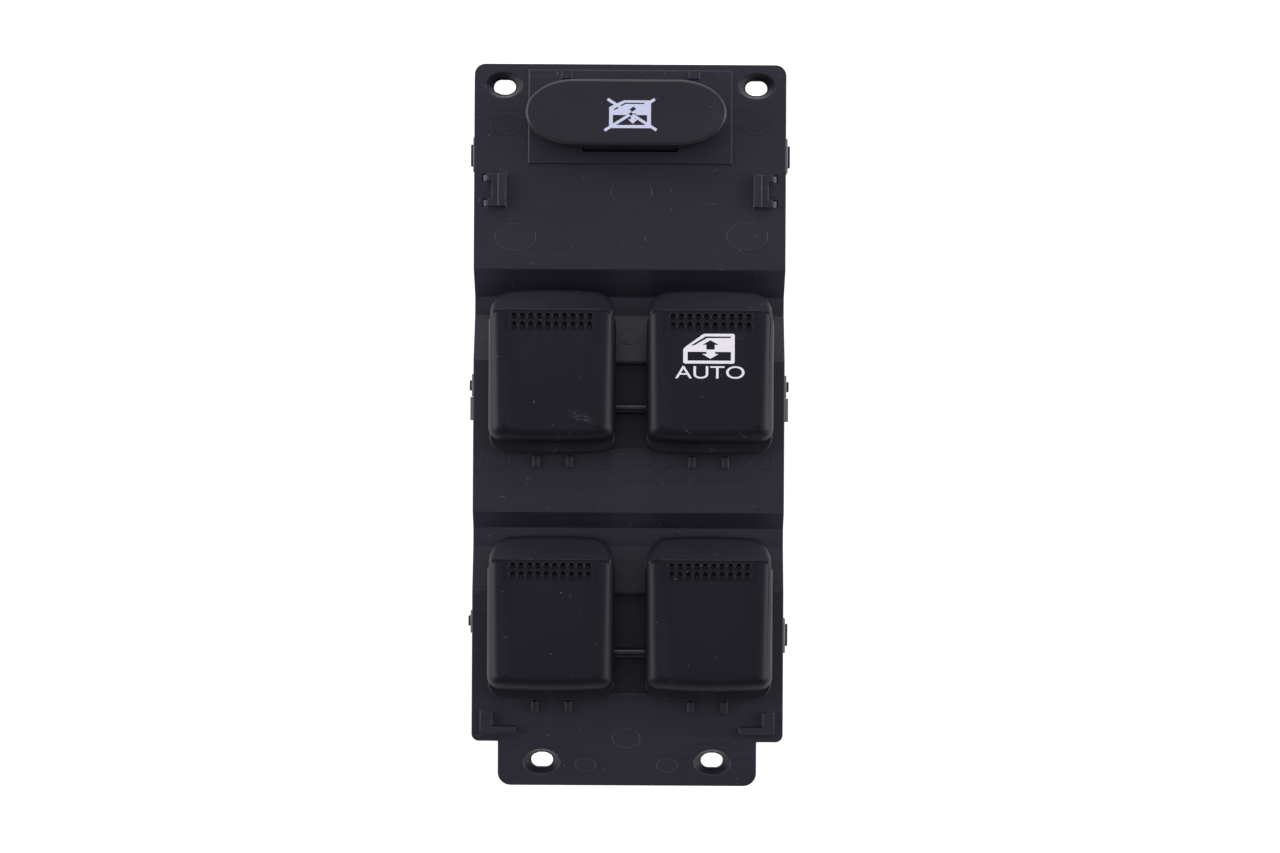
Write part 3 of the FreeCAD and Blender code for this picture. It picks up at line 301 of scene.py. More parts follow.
def moulded_plastic(name, colour, roughness, grains=5000.0, grain_depth=0.012, clouds=0.16,
                    dust=0.3, rub=0.4, sheen_spread=0.14, shine=0.42):
    """A moulded plastic: clouded colour, mould grain, rubbed edges and dust."""
    plastic = bpy.data.materials.new(name)
    plastic.use_nodes = True
    nodes = plastic.node_tree.nodes
    links = plastic.node_tree.links
    shader = nodes["Principled BSDF"]
    shader.inputs["Specular IOR Level"].default_value = shine
    grain = placed_group(nodes, grain_group, Grains_per_metre=grains)
    specks = placed_group(nodes, dust_group, Share=dust)
    worn = placed_group(nodes, rub_group, Amount=rub)
    darker = tuple(c * (1 - clouds) for c in colour)
    lighter = tuple(c * (1 + clouds) for c in colour)
    rubbed = tuple(c * 1.9 + 0.01 for c in colour)
    dust_colour = (0.28, 0.27, 0.29)
    spread = step(nodes, links, grain.outputs["Clouds"], 0.3, 0.7)
    tone = blended(nodes, links, spread, darker, lighter)
    tone = blended(nodes, links, worn.outputs["Rub"], tone, rubbed)
    tone = blended(nodes, links, specks.outputs["Specks"], tone, dust_colour)
    links.new(tone, shader.inputs["Base Color"])
    gloss = step(nodes, links, grain.outputs["Grain"], 0.2, 0.8, roughness - sheen_spread / 2,
                 roughness + sheen_spread / 2)
    links.new(gloss, shader.inputs["Roughness"])
    bump = nodes.new("ShaderNodeBump")
    bump.inputs["Strength"].default_value = 0.6
    bump.inputs["Distance"].default_value = grain_depth * MM
    links.new(grain.outputs["Grain"], bump.inputs["Height"])
    links.new(bump.outputs["Normal"], shader.inputs["Normal"])
    return plastic


grey_case_plastic = moulded_plastic("grey_case_plastic", (0.165, 0.155, 0.170), 0.5, grains=4200.0,
                                    clouds=0.1, dust=0.25)
lower_case = softened_copy("bottom_case", "lower_case", 0.14 * MM, "housing")
lower_case.data.materials.append(grey_case_plastic)


# The circuit board: glass laminate under a green lacquer, screwed to two posts of the case, with
# relays, control chip, capacitor and small resistors soldered on it. All of it is sealed inside.
def finish(node, material):
    """Gives a CAD node that stays as it is its material."""
    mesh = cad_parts[node].data
    mesh.materials.clear()
    mesh.materials.append(material)


def bare_metal(name, colour, roughness, streaks=2600.0):
    """A plain metal with fine drawing or grinding marks and a slight tarnish."""
    metal = bpy.data.materials.new(name)
    metal.use_nodes = True
    nodes = metal.node_tree.nodes
    links = metal.node_tree.links
    shader = nodes["Principled BSDF"]
    shader.inputs["Metallic"].default_value = 1.0
    marks = placed_group(nodes, grain_group, Grains_per_metre=streaks, Clouds_per_metre=300.0)
    tarnish = step(nodes, links, marks.outputs["Clouds"], 0.35, 0.75)
    tone = blended(nodes, links, tarnish, colour, tuple(c * 0.72 for c in colour))
    links.new(tone, shader.inputs["Base Color"])
    gloss = step(nodes, links, marks.outputs["Grain"], 0.2, 0.8, roughness * 0.7, roughness * 1.3)
    links.new(gloss, shader.inputs["Roughness"])
    return metal


green_lacquer = moulded_plastic("green_lacquer", (0.02, 0.10, 0.045), 0.3, grains=9000.0, dust=0.1)
black_component = moulded_plastic("black_component", (0.02, 0.02, 0.022), 0.5, grains=8000.0,
                                  dust=0.1)
bright_can = bare_metal("bright_can", (0.72, 0.72, 0.74), 0.3)
zinc_plate = bare_metal("zinc_plate", (0.60, 0.60, 0.61), 0.35)
spring_wire = bare_metal("spring_wire", (0.55, 0.55, 0.57), 0.25)
finish("circuit_board", green_lacquer)
for component in ("control_chip", "chip_resistors", "relay_left", "relay_right",
                  "lock_switch_base"):
    finish(component, black_component)
finish("capacitor", bright_can)
finish("board_screws", zinc_plate)


# The plug socket: a black shell on the underside of the board, open downwards, round two rows of
# square tinned brass pins.
socket_plastic = moulded_plastic("socket_plastic", (0.022, 0.022, 0.025), 0.45, dust=0.15)
tinned_pins = bare_metal("tinned_pins", (0.72, 0.66, 0.48), 0.28)
socket_shell = softened_copy("connector_shell", "socket_shell", 0.12 * MM, "housing")
socket_shell.data.materials.append(socket_plastic)
finish("connector_pins", tinned_pins)


# The contacts: black carriers on the board guide a white slider under each rocker, and a copper
# strip under each slider wipes over three plated pads.
natural_plastic = moulded_plastic("natural_plastic", (0.66, 0.65, 0.60), 0.45, dust=0.1,
                                  clouds=0.05)
copper_strip = bare_metal("copper_strip", (0.72, 0.43, 0.28), 0.3)
plated_pads = bare_metal("plated_pads", (0.74, 0.62, 0.34), 0.3)
rockers = [(pair, side) for pair in ("front", "rear") for side in ("left", "right")]
for pair in ("front", "rear"):
    carrier = softened_copy("contact_carrier_" + pair, "slide_carrier_" + pair, 0.1 * MM, "housing")
    carrier.data.materials.append(socket_plastic)
    finish("fixed_contacts_" + pair, plated_pads)
for pair, side in rockers:
    finish("contact_slider_%s_%s" % (pair, side), natural_plastic)
    finish("contact_wiper_%s_%s" % (pair, side), copper_strip)
    finish("detent_pin_%s_%s" % (pair, side), natural_plastic)
    finish("detent_spring_%s_%s" % (pair, side), spring_wire)


# The rocker shafts: ground steel rods, pressed into seats in the walls of the plate's openings.
# Their colour is near black, painted shade of the narrow gap between the caps where they show.
steel_in_painted_shade = bare_metal("steel_in_painted_shade", (0.05, 0.049, 0.056), 0.4, streaks=5200.0)
for pair in ("front", "rear"):
    finish("shaft_" + pair, steel_in_painted_shade)


# The top plate: one black moulding with two finger hollows, openings for the rockers, oval screw
# funnels and small catches. It snaps on to the case all round.
screw_slots = ((-25.3, 67.9), (25.3, 67.9), (-17.1, -67.4), (17.1, -67.4))
slot_radius = 1.5
slot_reach = 0.7
slot_depth = 11.0
slot_middle = 25.5
plate_plastic = moulded_plastic("plate_plastic", (0.0117, 0.0109, 0.0200), 0.5, grains=2100.0,
                                grain_depth=0.005, clouds=0.07, dust=0.6,
                                rub=0.08, sheen_spread=0.04)


def tinted(plastic, mask, colour):
    """Lays a colour over the plastic's own tone where the mask says."""
    nodes = plastic.node_tree.nodes
    links = plastic.node_tree.links
    tone = nodes["Principled BSDF"].inputs["Base Color"]
    links.new(blended(nodes, links, mask, tone.links[0].from_socket, colour), tone)


def shaped(base, tools):
    """The base with each tool joined to it or cut out of it, as one mesh."""
    def as_object(shape):
        mesh = bpy.data.meshes.new("shaping_tool")
        shape.to_mesh(mesh)
        shape.free()
        thing = bpy.data.objects.new("shaping_tool", mesh)
        bpy.context.scene.collection.objects.link(thing)
        return thing

    body = as_object(base)
    things = []
    for way, shape in tools:
        thing = as_object(shape)
        things.append(thing)
        change = body.modifiers.new(way, "BOOLEAN")
        change.operation = way
        change.object = thing
        change.solver = "EXACT"
    bpy.context.view_layer.update()
    graph = bpy.context.evaluated_depsgraph_get()
    mesh = bpy.data.meshes.new_from_object(body.evaluated_get(graph))
    for thing in things + [body]:
        bpy.data.objects.remove(thing)
    return mesh


def screw_slot(x, y):
    """A finely rounded stadium through the plate, 4.4 by 3.0 mm."""
    shape = bmesh.new()
    sides = 48
    radius = slot_radius / math.cos(math.pi / sides) + 0.01
    bmesh.ops.create_cone(shape, cap_ends=True, segments=sides, radius1=radius, radius2=radius,
                          depth=slot_depth)
    bmesh.ops.transform(shape, matrix=Matrix.Rotation(math.pi / sides, 4, "Z"), verts=shape.verts)
    for v in shape.verts:
        v.co.x += slot_reach if v.co.x > 0 else -slot_reach
    sit = Matrix.Scale(MM, 4) @ Matrix.Translation((x, y, slot_middle))
    bmesh.ops.transform(shape, matrix=sit, verts=shape.verts)
    return shape


# The flow of the plastic left fine streaks across the plate's width.
streak_nodes = plate_plastic.node_tree.nodes
streak_links = plate_plastic.node_tree.links
streak_place = streak_nodes.new("ShaderNodeTexCoord")
streak_stretch = streak_nodes.new("ShaderNodeMapping")
streak_stretch.inputs["Scale"].default_value = (30.0, 1500.0, 300.0)
streak_noise = streak_nodes.new("ShaderNodeTexNoise")
streak_noise.inputs["Scale"].default_value = 1.0
streak_noise.inputs["Detail"].default_value = 3.0
streak_links.new(streak_place.outputs["Object"], streak_stretch.inputs["Vector"])
streak_links.new(streak_stretch.outputs["Vector"], streak_noise.inputs["Vector"])
flow_streaks = step(streak_nodes, streak_links, streak_noise.outputs["Fac"], 0.48, 0.78, 0.0, 0.5)
tinted(plate_plastic, flow_streaks, (0.023, 0.022, 0.034))
plate = softened_copy("top_plate", "plate", 0.16 * MM, "housing",
                      tools=[("DIFFERENCE", screw_slot(x, y)) for x, y in screw_slots])
plate.data.materials.append(plate_plastic)
# The creases where the hollows begin and end run across the plate and stay crisp.
crease_length = 2 * MM
crease_angle = math.radians(6)
creases = bmesh.new()
creases.from_mesh(plate.data)
for edge in creases.edges:
    along = edge.verts[1].co - edge.verts[0].co
    runs_across = abs(along.x) > max(crease_length, 0.999 * along.length)
    if runs_across and edge.calc_face_angle(0) > crease_angle:
        edge.smooth = False
creases.to_mesh(plate.data)
creases.free()


# Ejector marks: the flat ovals that the mould's pins left on the plate, a hair proud of it and a
# little paler and smoother. Their thin raised outlines are painted paler still, a painted
# highlight where the rims catch the light. The two on the ramps follow their slope.
mark_plastic = moulded_plastic("mark_plastic", (0.0142, 0.0132, 0.0218), 0.52, grains=2100.0,
                               grain_depth=0.006, clouds=0.12, dust=0.5)
faint_mark_plastic = moulded_plastic("faint_mark_plastic", (0.0120, 0.0111, 0.0196), 0.51,
                                     grains=2100.0, grain_depth=0.006, clouds=0.13, dust=0.5)
shelf_z = 30.0
deck_z = 29.35
ejector_marks = (
    ("lock_middle", 0.3, 46.7, shelf_z, 8.4, 5.6, mark_plastic),
    ("field_left", -22.9, 37.5, shelf_z, 8.4, 5.6, mark_plastic),
    ("field_right", 23.5, 37.8, shelf_z, 8.4, 5.6, mark_plastic),
    ("top_left", -24.8, 59.9, shelf_z, 6.2, 4.2, faint_mark_plastic),
    ("top_right", 25.2, 60.2, shelf_z, 6.2, 4.2, faint_mark_plastic),
    ("deck_far_left", -26.1, -7.1, deck_z, 4.8, 3.4, faint_mark_plastic),
    ("deck_left", -5.7, -7.1, deck_z, 5.6, 4.0, faint_mark_plastic),
    ("deck_right", 6.3, -7.1, deck_z, 5.6, 4.0, faint_mark_plastic),
    ("deck_far_right", 26.7, -7.1, deck_z, 4.8, 3.4, faint_mark_plastic),
    ("tongue_middle", -0.2, -62.7, deck_z, 5.8, 4.0, mark_plastic),
    ("tongue_left", -8.3, -68.1, deck_z, 4.3, 2.9, mark_plastic),
    ("tongue_right", 8.0, -68.1, deck_z, 4.3, 2.9, mark_plastic),
)
mark_rise = 0.04
mark_sink = 0.15
mark_line = 0.05
mark_ridge = 0.05
# The outlines' colour: a painted highlight, paler than any mark's own tone.
rim_highlight_plastic = moulded_plastic("rim_highlight_plastic", (0.034, 0.033, 0.043), 0.5, grains=2100.0,
                                grain_depth=0.005, clouds=0.3, dust=0.5)


def ejector_mark(name, x, y, z, length, width, plastic, slope=0.0):
    """A flat oval with a thin raised outline in a paler colour, a painted highlight."""
    shape = bmesh.new()
    bmesh.ops.create_cone(shape, cap_ends=True, segments=48, radius1=0.5, radius2=0.5, depth=1.0)
    size = Matrix.Diagonal((length * MM, width * MM, (mark_rise + mark_sink) * MM, 1))
    bmesh.ops.transform(shape, matrix=size, verts=shape.verts)
    top = [face for face in shape.faces if face.normal.z > 0.9]
    for rise in (mark_ridge, 0.0, -mark_ridge):
        ring = bmesh.ops.inset_region(shape, faces=top, thickness=mark_line * MM, depth=rise * MM,
                                      use_even_offset=True)
        # The ring faces take the second material, whose paler colour is the painted highlight.
        for face in ring["faces"]:
            face.material_index = 1
    sit = Matrix.Translation((x * MM, y * MM, z * MM)) @ Matrix.Rotation(slope, 4, "X")
    sit = sit @ Matrix.Translation((0, 0, (mark_rise - mark_sink) / 2 * MM))
    bmesh.ops.transform(shape, matrix=sit, verts=shape.verts)
    mesh = bpy.data.meshes.new(name)
    shape.to_mesh(mesh)
    shape.free()
    mesh.shade_smooth()
    mesh.set_sharp_from_angle(angle=math.radians(30))
    mesh.materials.append(plastic)
    # The outline's painted highlight: this paler plastic on the plain marks, the plain marks' own
    # plastic on the faint ones.
    mesh.materials.append(rim_highlight_plastic if plastic == mark_plastic else mark_plastic)
    piece = bpy.data.objects.new(name, mesh)
    bpy.context.scene.collection.objects.link(piece)
    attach(piece, "housing")


for mark in ejector_marks:
    ejector_mark("ejector_mark_" + mark[0], *mark[1:])
ramps = (("front", 0.1, 17.8, 12.9, 9.2, 3.35), ("rear", 0.3, -29.1, -33.3, 8.8, 1.95))
for pair, mark_x, mark_y, ramp_foot, ramp_length, ramp_rise in ramps:
    mark_z = deck_z - ramp_rise * (mark_y - ramp_foot) / ramp_length
    ejector_mark("ejector_mark_ramp_" + pair, mark_x, mark_y, mark_z, 4.8, 3.4, mark_plastic,
                 -math.atan2(ramp_rise, ramp_length))


# The rocker caps: four like black mouldings. Each is a hollow loaf with a rim round its foot, a
# sloping nose and a field of small grip pits, and turns on its shaft by two ears inside.
# Millimetres from the shaft's axis: outline, heights, rounds, grip field and the works inside.
cap_width = 25.1
cap_rear = 9.05
cap_front = 23.6
loaf_rear = 6.9
loaf_front = 19.2
cap_top = 9.0
rim_foot = 1.7
rim_top = 3.8
nose_lip = 2.9
nose_plateau = 8.05
cap_bow = 0.6
cap_wall = 1.5
cap_roof = 1.6
nose_inset = 0.4
loaf_round = 3.0
nose_round = 0.95
shoulder_round = 0.12
rim_round = 0.45
foot_round = 0.2
field_half = 9.2
field_rear = 15.0
field_front = 19.2
field_floor = 8.86
pit_pitch = 1.65
pit_half_width = 0.62
pit_lift = 0.18
pit_rim_half_width = 0.79
pit_rim_sink = 0.02
# Each row of grip pits: its place, half the length of a pit, and half that of the raised rim.
pit_rows = ((18.08, 0.68, 0.78), (16.22, 0.88, 0.98))
room_front = 17.7
nose_room_half = 7.25
nose_room_rear = 16.2
nose_room_front = 20.6
ear_inner = 9.0
ear_outer = 10.6
tower_left = -5.7
tower_right = 2.8
tube_half = 2.3
tube_half_depth = 2.29
tube_foot = -7.4
pin_bore_half = 1.3
shaft_bore = 1.05
shaft_room = 1.3
arm_left = -5.72
arm_right = -4.1
arm_tip = -10.4
arm_tip_radius = 1.3
# Corners within this of a face count as on it.
hair = 0.001


def block(low, high):
    """A plain block between two corners, in millimetres."""
    shape = bmesh.new()
    bmesh.ops.create_cube(shape, size=1.0)
    size = Vector(high) - Vector(low)
    middle = (Vector(high) + Vector(low)) / 2
    bmesh.ops.transform(shape, matrix=Matrix.Translation(middle) @ Matrix.Diagonal((*size, 1)),
                        verts=shape.verts)
    return shape


def turn_edges(shape, edges, radius, segments):
    """Rounds some edges of a shape."""
    shape.normal_update()
    bmesh.ops.bevel(shape, geom=edges, offset=radius, offset_type="OFFSET", segments=segments,
                    profile=0.5, affect="EDGES", material=-1, clamp_overlap=False)
    bmesh.ops.remove_doubles(shape, verts=shape.verts, dist=0.0005)
    shape.normal_update()


def bowed_block(half, rear, front, z0, z1, rear_r, front_r):
    """A block with turned upright corners and ends that bulge a little.

    An end of radius 0 stays square and flat."""
    shape = block((-half, rear, z0), (half, front, z1))
    middle = (rear + front) / 2
    for way, radius in ((-1, rear_r), (1, front_r)):
        corners = [e for e in shape.edges if abs(e.verts[0].co.z - e.verts[1].co.z) > 0.5
                   and (e.verts[0].co.y - middle) * way > 0]
        if radius:
            turn_edges(shape, corners, radius, 9)
    across = [e for e in shape.edges if abs(e.verts[0].co.x - e.verts[1].co.x) > half]
    bmesh.ops.subdivide_edges(shape, edges=across, cuts=11, use_grid_fill=True)
    for v in shape.verts:
        bulge = cap_bow * (v.co.x / half) ** 2
        if v.co.y > middle and front_r:
            v.co.y -= bulge
        elif v.co.y < middle and rear_r:
            v.co.y += bulge
    return shape


def outline_edges(shape, z):
    """The outer edges of a block's top or bottom face."""
    return [e for e in shape.edges
            if all(abs(v.co.z - z) < hair for v in e.verts)
            and any(abs(f.normal.z) < 0.5 for f in e.link_faces)]


def cap_rim():
    """The rim round the loaf's foot; it runs into the loaf's side walls and ends inside them."""
    shape = bowed_block(cap_width / 2 - 0.02, -cap_rear, 8.0, rim_foot, rim_top, 2.8, 0)
    turn_edges(shape, outline_edges(shape, rim_top), rim_round, 4)
    turn_edges(shape, outline_edges(shape, rim_foot), foot_round, 2)
    return shape


def cap_nose():
    """The nose: its front corners are wide, and its top slopes up to the grip field."""
    half = cap_width / 2 - nose_inset
    shape = bowed_block(half, 8.0, cap_front, rim_foot + 0.01, nose_plateau, 0, 3.8)
    slope_normal = Vector((0, nose_plateau - nose_lip, cap_front - loaf_front)).normalized()
    bmesh.ops.bisect_plane(shape, geom=shape.verts[:] + shape.edges[:] + shape.faces[:],
                           plane_co=(0, loaf_front, nose_plateau), plane_no=slope_normal,
                           clear_outer=True, dist=0.0001)
    open_edges = [e for e in shape.edges if e.is_boundary]
    bmesh.ops.contextual_create(shape, geom=open_edges)
    shape.normal_update()
    slope_rim = [e for e in shape.edges if min(v.co.z for v in e.verts) < nose_plateau - hair
                 and any(f.normal.dot(slope_normal) > 0.999 for f in e.link_faces)
                 and any(f.normal.dot(slope_normal) < 0.95 for f in e.link_faces)]
    sides = [e for e in shape.edges
             if all(abs(v.co.x) > half - hair and v.co.z > nose_plateau - hair for v in e.verts)]
    turn_edges(shape, slope_rim + sides, nose_round, 6)
    return shape


def cap_brow():
    """The block that carries the grip field out over the loaf's rounded shoulder."""
    lap = 0.25
    shape = block((-field_half - lap, field_rear - 0.2, 5.8),
                  (field_half + lap, field_front + 0.3, cap_top - 0.03))
    front = [e for e in shape.edges if all(v.co.y > 19 and v.co.z > 8 for v in e.verts)]
    turn_edges(shape, front, 0.25, 4)
    return shape


def hanging_web(x0, x1):
    """A web under the roof, a little wider where it joins it."""
    half_foot = 2.3
    half_root = 2.9
    shape = block((x0, -half_foot, -half_foot), (x1, half_foot, cap_top - 1.1))
    for v in shape.verts:
        if v.co.z > 0:
            v.co.y *= half_root / half_foot
    return shape


def bar_along_x(radius, segments, x0, x1, z=0.0):
    """A round bar across the cap, on its shaft's axis or above or below it."""
    shape = bmesh.new()
    bmesh.ops.create_cone(shape, cap_ends=True, segments=segments, radius1=radius, radius2=radius,
                          depth=x1 - x0)
    turn = Matrix.Translation(((x0 + x1) / 2, 0, z)) @ Matrix.Rotation(math.pi / 2, 4, "Y")
    turn = turn @ Matrix.Rotation(math.pi / segments, 4, "Z")
    bmesh.ops.transform(shape, matrix=turn, verts=shape.verts)
    return shape


def drive_arm():
    """The tapered arm that reaches down to the contact slider."""
    half_root = 1.6
    half_tip = 0.9
    shape = block((arm_left, -half_root, arm_tip), (arm_right, half_root, 0.5))
    for v in shape.verts:
        if v.co.z < arm_tip / 2:
            v.co.y *= half_tip / half_root
    return shape


def ovals(places, sizes, sides, rings):
    """A group of small ovals, as one shape."""
    shape = bmesh.new()
    for place, size in zip(places, sizes):
        sit = Matrix.Translation(place) @ Matrix.Diagonal((*size, 1))
        bmesh.ops.create_uvsphere(shape, u_segments=sides, v_segments=rings, radius=1.0,
                                  matrix=sit)
    return shape


def cap_loaf():
    """The loaf: wide rounds at its sides and rear, and a nearly square shoulder at its front."""
    shape = bowed_block(cap_width / 2, -loaf_rear, cap_front, rim_foot + 0.02, cap_top, 2.5, 0)
    turn_edges(shape, [e for e in outline_edges(shape, cap_top)
                       if min(v.co.y for v in e.verts) < cap_front - 1], loaf_round, 12)
    front_plan = bowed_block(cap_width / 2 + 0.01, -12.0, loaf_front, 1.0, cap_top + 1, 0, 2.0)
    mesh = shaped(shape, (("INTERSECT", front_plan),))
    shape = bmesh.new()
    shape.from_mesh(mesh)
    bmesh.ops.remove_doubles(shape, verts=shape.verts, dist=0.03)
    shape.normal_update()
    shoulder = [e for e in shape.edges if len(e.link_faces) == 2
                and min(v.co.y for v in e.verts) > loaf_front - 2.2
                and max(v.co.z for v in e.verts) > nose_plateau
                and max(f.normal.z for f in e.link_faces) > 0.3
                and min(abs(f.normal.z) for f in e.link_faces) < 0.01]
    turn_edges(shape, shoulder, shoulder_round, 2)
    return shape


pits = [((i - 4.5) * pit_pitch, *row) for i in range(10) for row in pit_rows]
half_room = cap_width / 2 - cap_wall
cap_mesh = shaped(cap_loaf(), (
    ("UNION", cap_nose()),
    ("UNION", cap_rim()),
    ("UNION", cap_brow()),
    # The grip field: a shallow recess with raised rims, and a pit in each rim.
    ("DIFFERENCE", block((-field_half, field_rear, field_floor),
                         (field_half, field_front, cap_top + 1))),
    ("UNION", ovals([(x, y, field_floor - pit_rim_sink) for x, y, _, _ in pits],
                    [(pit_rim_half_width, reach, 0.15) for _, _, _, reach in pits], 12, 6)),
    ("DIFFERENCE", ovals([(x, y, field_floor + pit_lift) for x, y, _, _ in pits],
                         [(pit_half_width, half, 0.75) for _, _, half, _ in pits], 10, 8)),
    # The room inside the loaf and the nose.
    ("DIFFERENCE", block((-half_room, cap_wall - loaf_rear, 0),
                         (half_room, room_front, cap_top - cap_roof))),
    ("DIFFERENCE", block((-nose_room_half, nose_room_rear, 0),
                         (nose_room_half, nose_room_front, rim_top))),
    # The ears, the detent tower with its tube, and the drive arm.
    ("UNION", hanging_web(-ear_outer, -ear_inner)),
    ("UNION", hanging_web(ear_inner, ear_outer)),
    ("UNION", hanging_web(tower_left, tower_right)),
    ("UNION", block((-tube_half, -tube_half_depth, tube_foot), (tube_half, tube_half_depth, 0.5))),
    ("UNION", drive_arm()),
    ("UNION", bar_along_x(arm_tip_radius / math.cos(math.pi / 8), 8, -5.71, -4.09, arm_tip)),
    # Room for the shaft through the tower, its bores in the ears, and the pin's bore.
    ("DIFFERENCE", block((-6.5, -shaft_room, -shaft_room), (3.8, shaft_room, shaft_room))),
    ("DIFFERENCE", bar_along_x(shaft_bore, 32, -11.4, -8.2)),
    ("DIFFERENCE", bar_along_x(shaft_bore, 32, 8.2, 11.4)),
    ("DIFFERENCE", block((-pin_bore_half, -1.29, -8.4), (pin_bore_half, 1.29, -1.0))),
))
cap_mesh.transform(Matrix.Scale(MM, 4))

cap_plastic = moulded_plastic("cap_plastic", (0.0062, 0.0053, 0.0104), 0.47, grains=6500.0,
                              grain_depth=0.010, clouds=0.1, dust=0.3, rub=0.5, shine=0.26)

# A faint scuff at the rear of the front left cap: short pale scratches in a small oval patch.
scuff_nodes = cap_plastic.node_tree.nodes
scuff_links = cap_plastic.node_tree.links
scuff_place = scuff_nodes.new("ShaderNodeTexCoord")
scuff_patch = scuff_nodes.new("ShaderNodeMapping")
scuff_patch.vector_type = "TEXTURE"
scuff_patch.inputs["Location"].default_value = (-0.0095, 0.0017, 0.038)
scuff_patch.inputs["Rotation"].default_value = (0, 0, -0.35)
scuff_patch.inputs["Scale"].default_value = (0.0030, 0.0012, 0.002)
scuff_reach = scuff_nodes.new("ShaderNodeVectorMath")
scuff_reach.operation = "LENGTH"
scuff_stretch = scuff_nodes.new("ShaderNodeMapping")
scuff_stretch.inputs["Rotation"].default_value = (0, 0, 0.5)
scuff_stretch.inputs["Scale"].default_value = (900.0, 4200.0, 900.0)
scuff_noise = scuff_nodes.new("ShaderNodeTexNoise")
scuff_noise.inputs["Scale"].default_value = 1.0
scuff_noise.inputs["Detail"].default_value = 3.0
scuff_links.new(scuff_place.outputs["Object"], scuff_patch.inputs["Vector"])
scuff_links.new(scuff_patch.outputs["Vector"], scuff_reach.inputs[0])
scuff_links.new(scuff_place.outputs["Object"], scuff_stretch.inputs["Vector"])
scuff_links.new(scuff_stretch.outputs["Vector"], scuff_noise.inputs["Vector"])
scuff_near = step(scuff_nodes, scuff_links, scuff_reach.outputs["Value"], 1.1, 0.5)
scuff_lines = step(scuff_nodes, scuff_links, scuff_noise.outputs["Fac"], 0.52, 0.68, 0.0, 0.4)
scuff_mask = reckoned(scuff_nodes, scuff_links, "MULTIPLY", scuff_near, scuff_lines)
tinted(cap_plastic, scuff_mask, (0.11, 0.11, 0.12))

for pair, side in rockers:
    node_name = "rocker_cap_%s_%s" % (pair, side)
    node_low, node_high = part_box(node_name)
    axis_place = ((node_low.x + node_high.x) / 2, node_low.y + cap_rear * MM,
                  node_high.z - cap_top * MM)
    mesh = cap_mesh.copy()
    mesh.name = "cap_%s_%s" % (pair, side)
    mesh.transform(Matrix.Translation(axis_place))
    mesh.shade_smooth()
    mesh.set_sharp_from_angle(angle=math.radians(35))
    mesh.materials.clear()
    mesh.materials.append(cap_plastic)
    cap = bpy.data.objects.new(mesh.name, mesh)
    bpy.context.scene.collection.objects.link(cap)
    flat_faces = cap.modifiers.new("flat_faces", "WEIGHTED_NORMAL")
    flat_faces.keep_sharp = True
    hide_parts(node_name)
    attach(cap, "cap_%s_%s" % (pair, side))


# The print on the driver's cap: a plain window sign with an up and a down arrow, and the word
# AUTO under it, in white ink, a few hundredths of a millimetre thick.
print_rise = 0.02
print_thickness = 0.012


def white_ink(name, colour):
    """A pad-printed ink, a little thin in places."""
    ink = bpy.data.materials.new(name)
    ink.use_nodes = True
    nodes = ink.node_tree.nodes
    links = ink.node_tree.links
    shader = nodes["Principled BSDF"]
    wear = placed_group(nodes, grain_group, Grains_per_metre=9000.0, Clouds_per_metre=1500.0)
    thin = step(nodes, links, wear.outputs["Clouds"], 0.58, 0.78, 0.0, 0.25)
    tone = blended(nodes, links, thin, colour, tuple(c * 0.6 for c in colour))
    links.new(tone, shader.inputs["Base Color"])
    gloss = step(nodes, links, wear.outputs["Grain"], 0.2, 0.8, 0.42, 0.6)
    links.new(gloss, shader.inputs["Roughness"])
    return ink


def printed(name, curve, centre, ink, body, level):
    """A flat curve or text as a mesh on a top face, ridden by its body."""
    source = bpy.data.objects.new(name + "_source", curve)
    bpy.context.scene.collection.objects.link(source)
    bpy.context.view_layer.update()
    graph = bpy.context.evaluated_depsgraph_get()
    mesh = bpy.data.meshes.new_from_object(source.evaluated_get(graph))
    bpy.data.objects.remove(source)
    mesh.name = name
    lift = (level + print_rise - print_thickness / 2) * MM
    sit = Matrix.Translation((centre[0] * MM, centre[1] * MM, lift))
    mesh.transform(sit @ Matrix.Scale(MM, 4))
    mesh.materials.clear()
    mesh.materials.append(ink)
    piece = bpy.data.objects.new(name, mesh)
    bpy.context.scene.collection.objects.link(piece)
    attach(piece, body)
    return piece


def flat_print(name, outlines, place, scale, ink, body, level):
    """Closed outlines, filled between each other and raised by the ink's thickness."""
    curve = bpy.data.curves.new(name + "_outline", "CURVE")
    curve.dimensions = "2D"
    curve.fill_mode = "BOTH"
    curve.extrude = print_thickness / 2
    for outline in outlines:
        spline = curve.splines.new("POLY")
        spline.points.add(len(outline) - 1)
        for point, (x, y) in zip(spline.points, outline):
            point.co = ((x - place[0][0]) * scale[0], (place[0][1] - y) * scale[1], 0, 1)
        spline.use_cyclic_u = True
    printed(name, curve, place[1], ink, body, level)


def rounded(corners, radius, steps=5):
    """The outline with each corner turned by a short curve."""
    outline = []
    count = len(corners)
    for i, corner in enumerate(corners):
        here = Vector(corner)
        start = here + (Vector(corners[i - 1]) - here).normalized() * radius
        end = here + (Vector(corners[(i + 1) % count]) - here).normalized() * radius
        for k in range(steps + 1):
            t = k / steps
            outline.append(tuple(start.lerp(here, t).lerp(here.lerp(end, t), t)))
    return outline


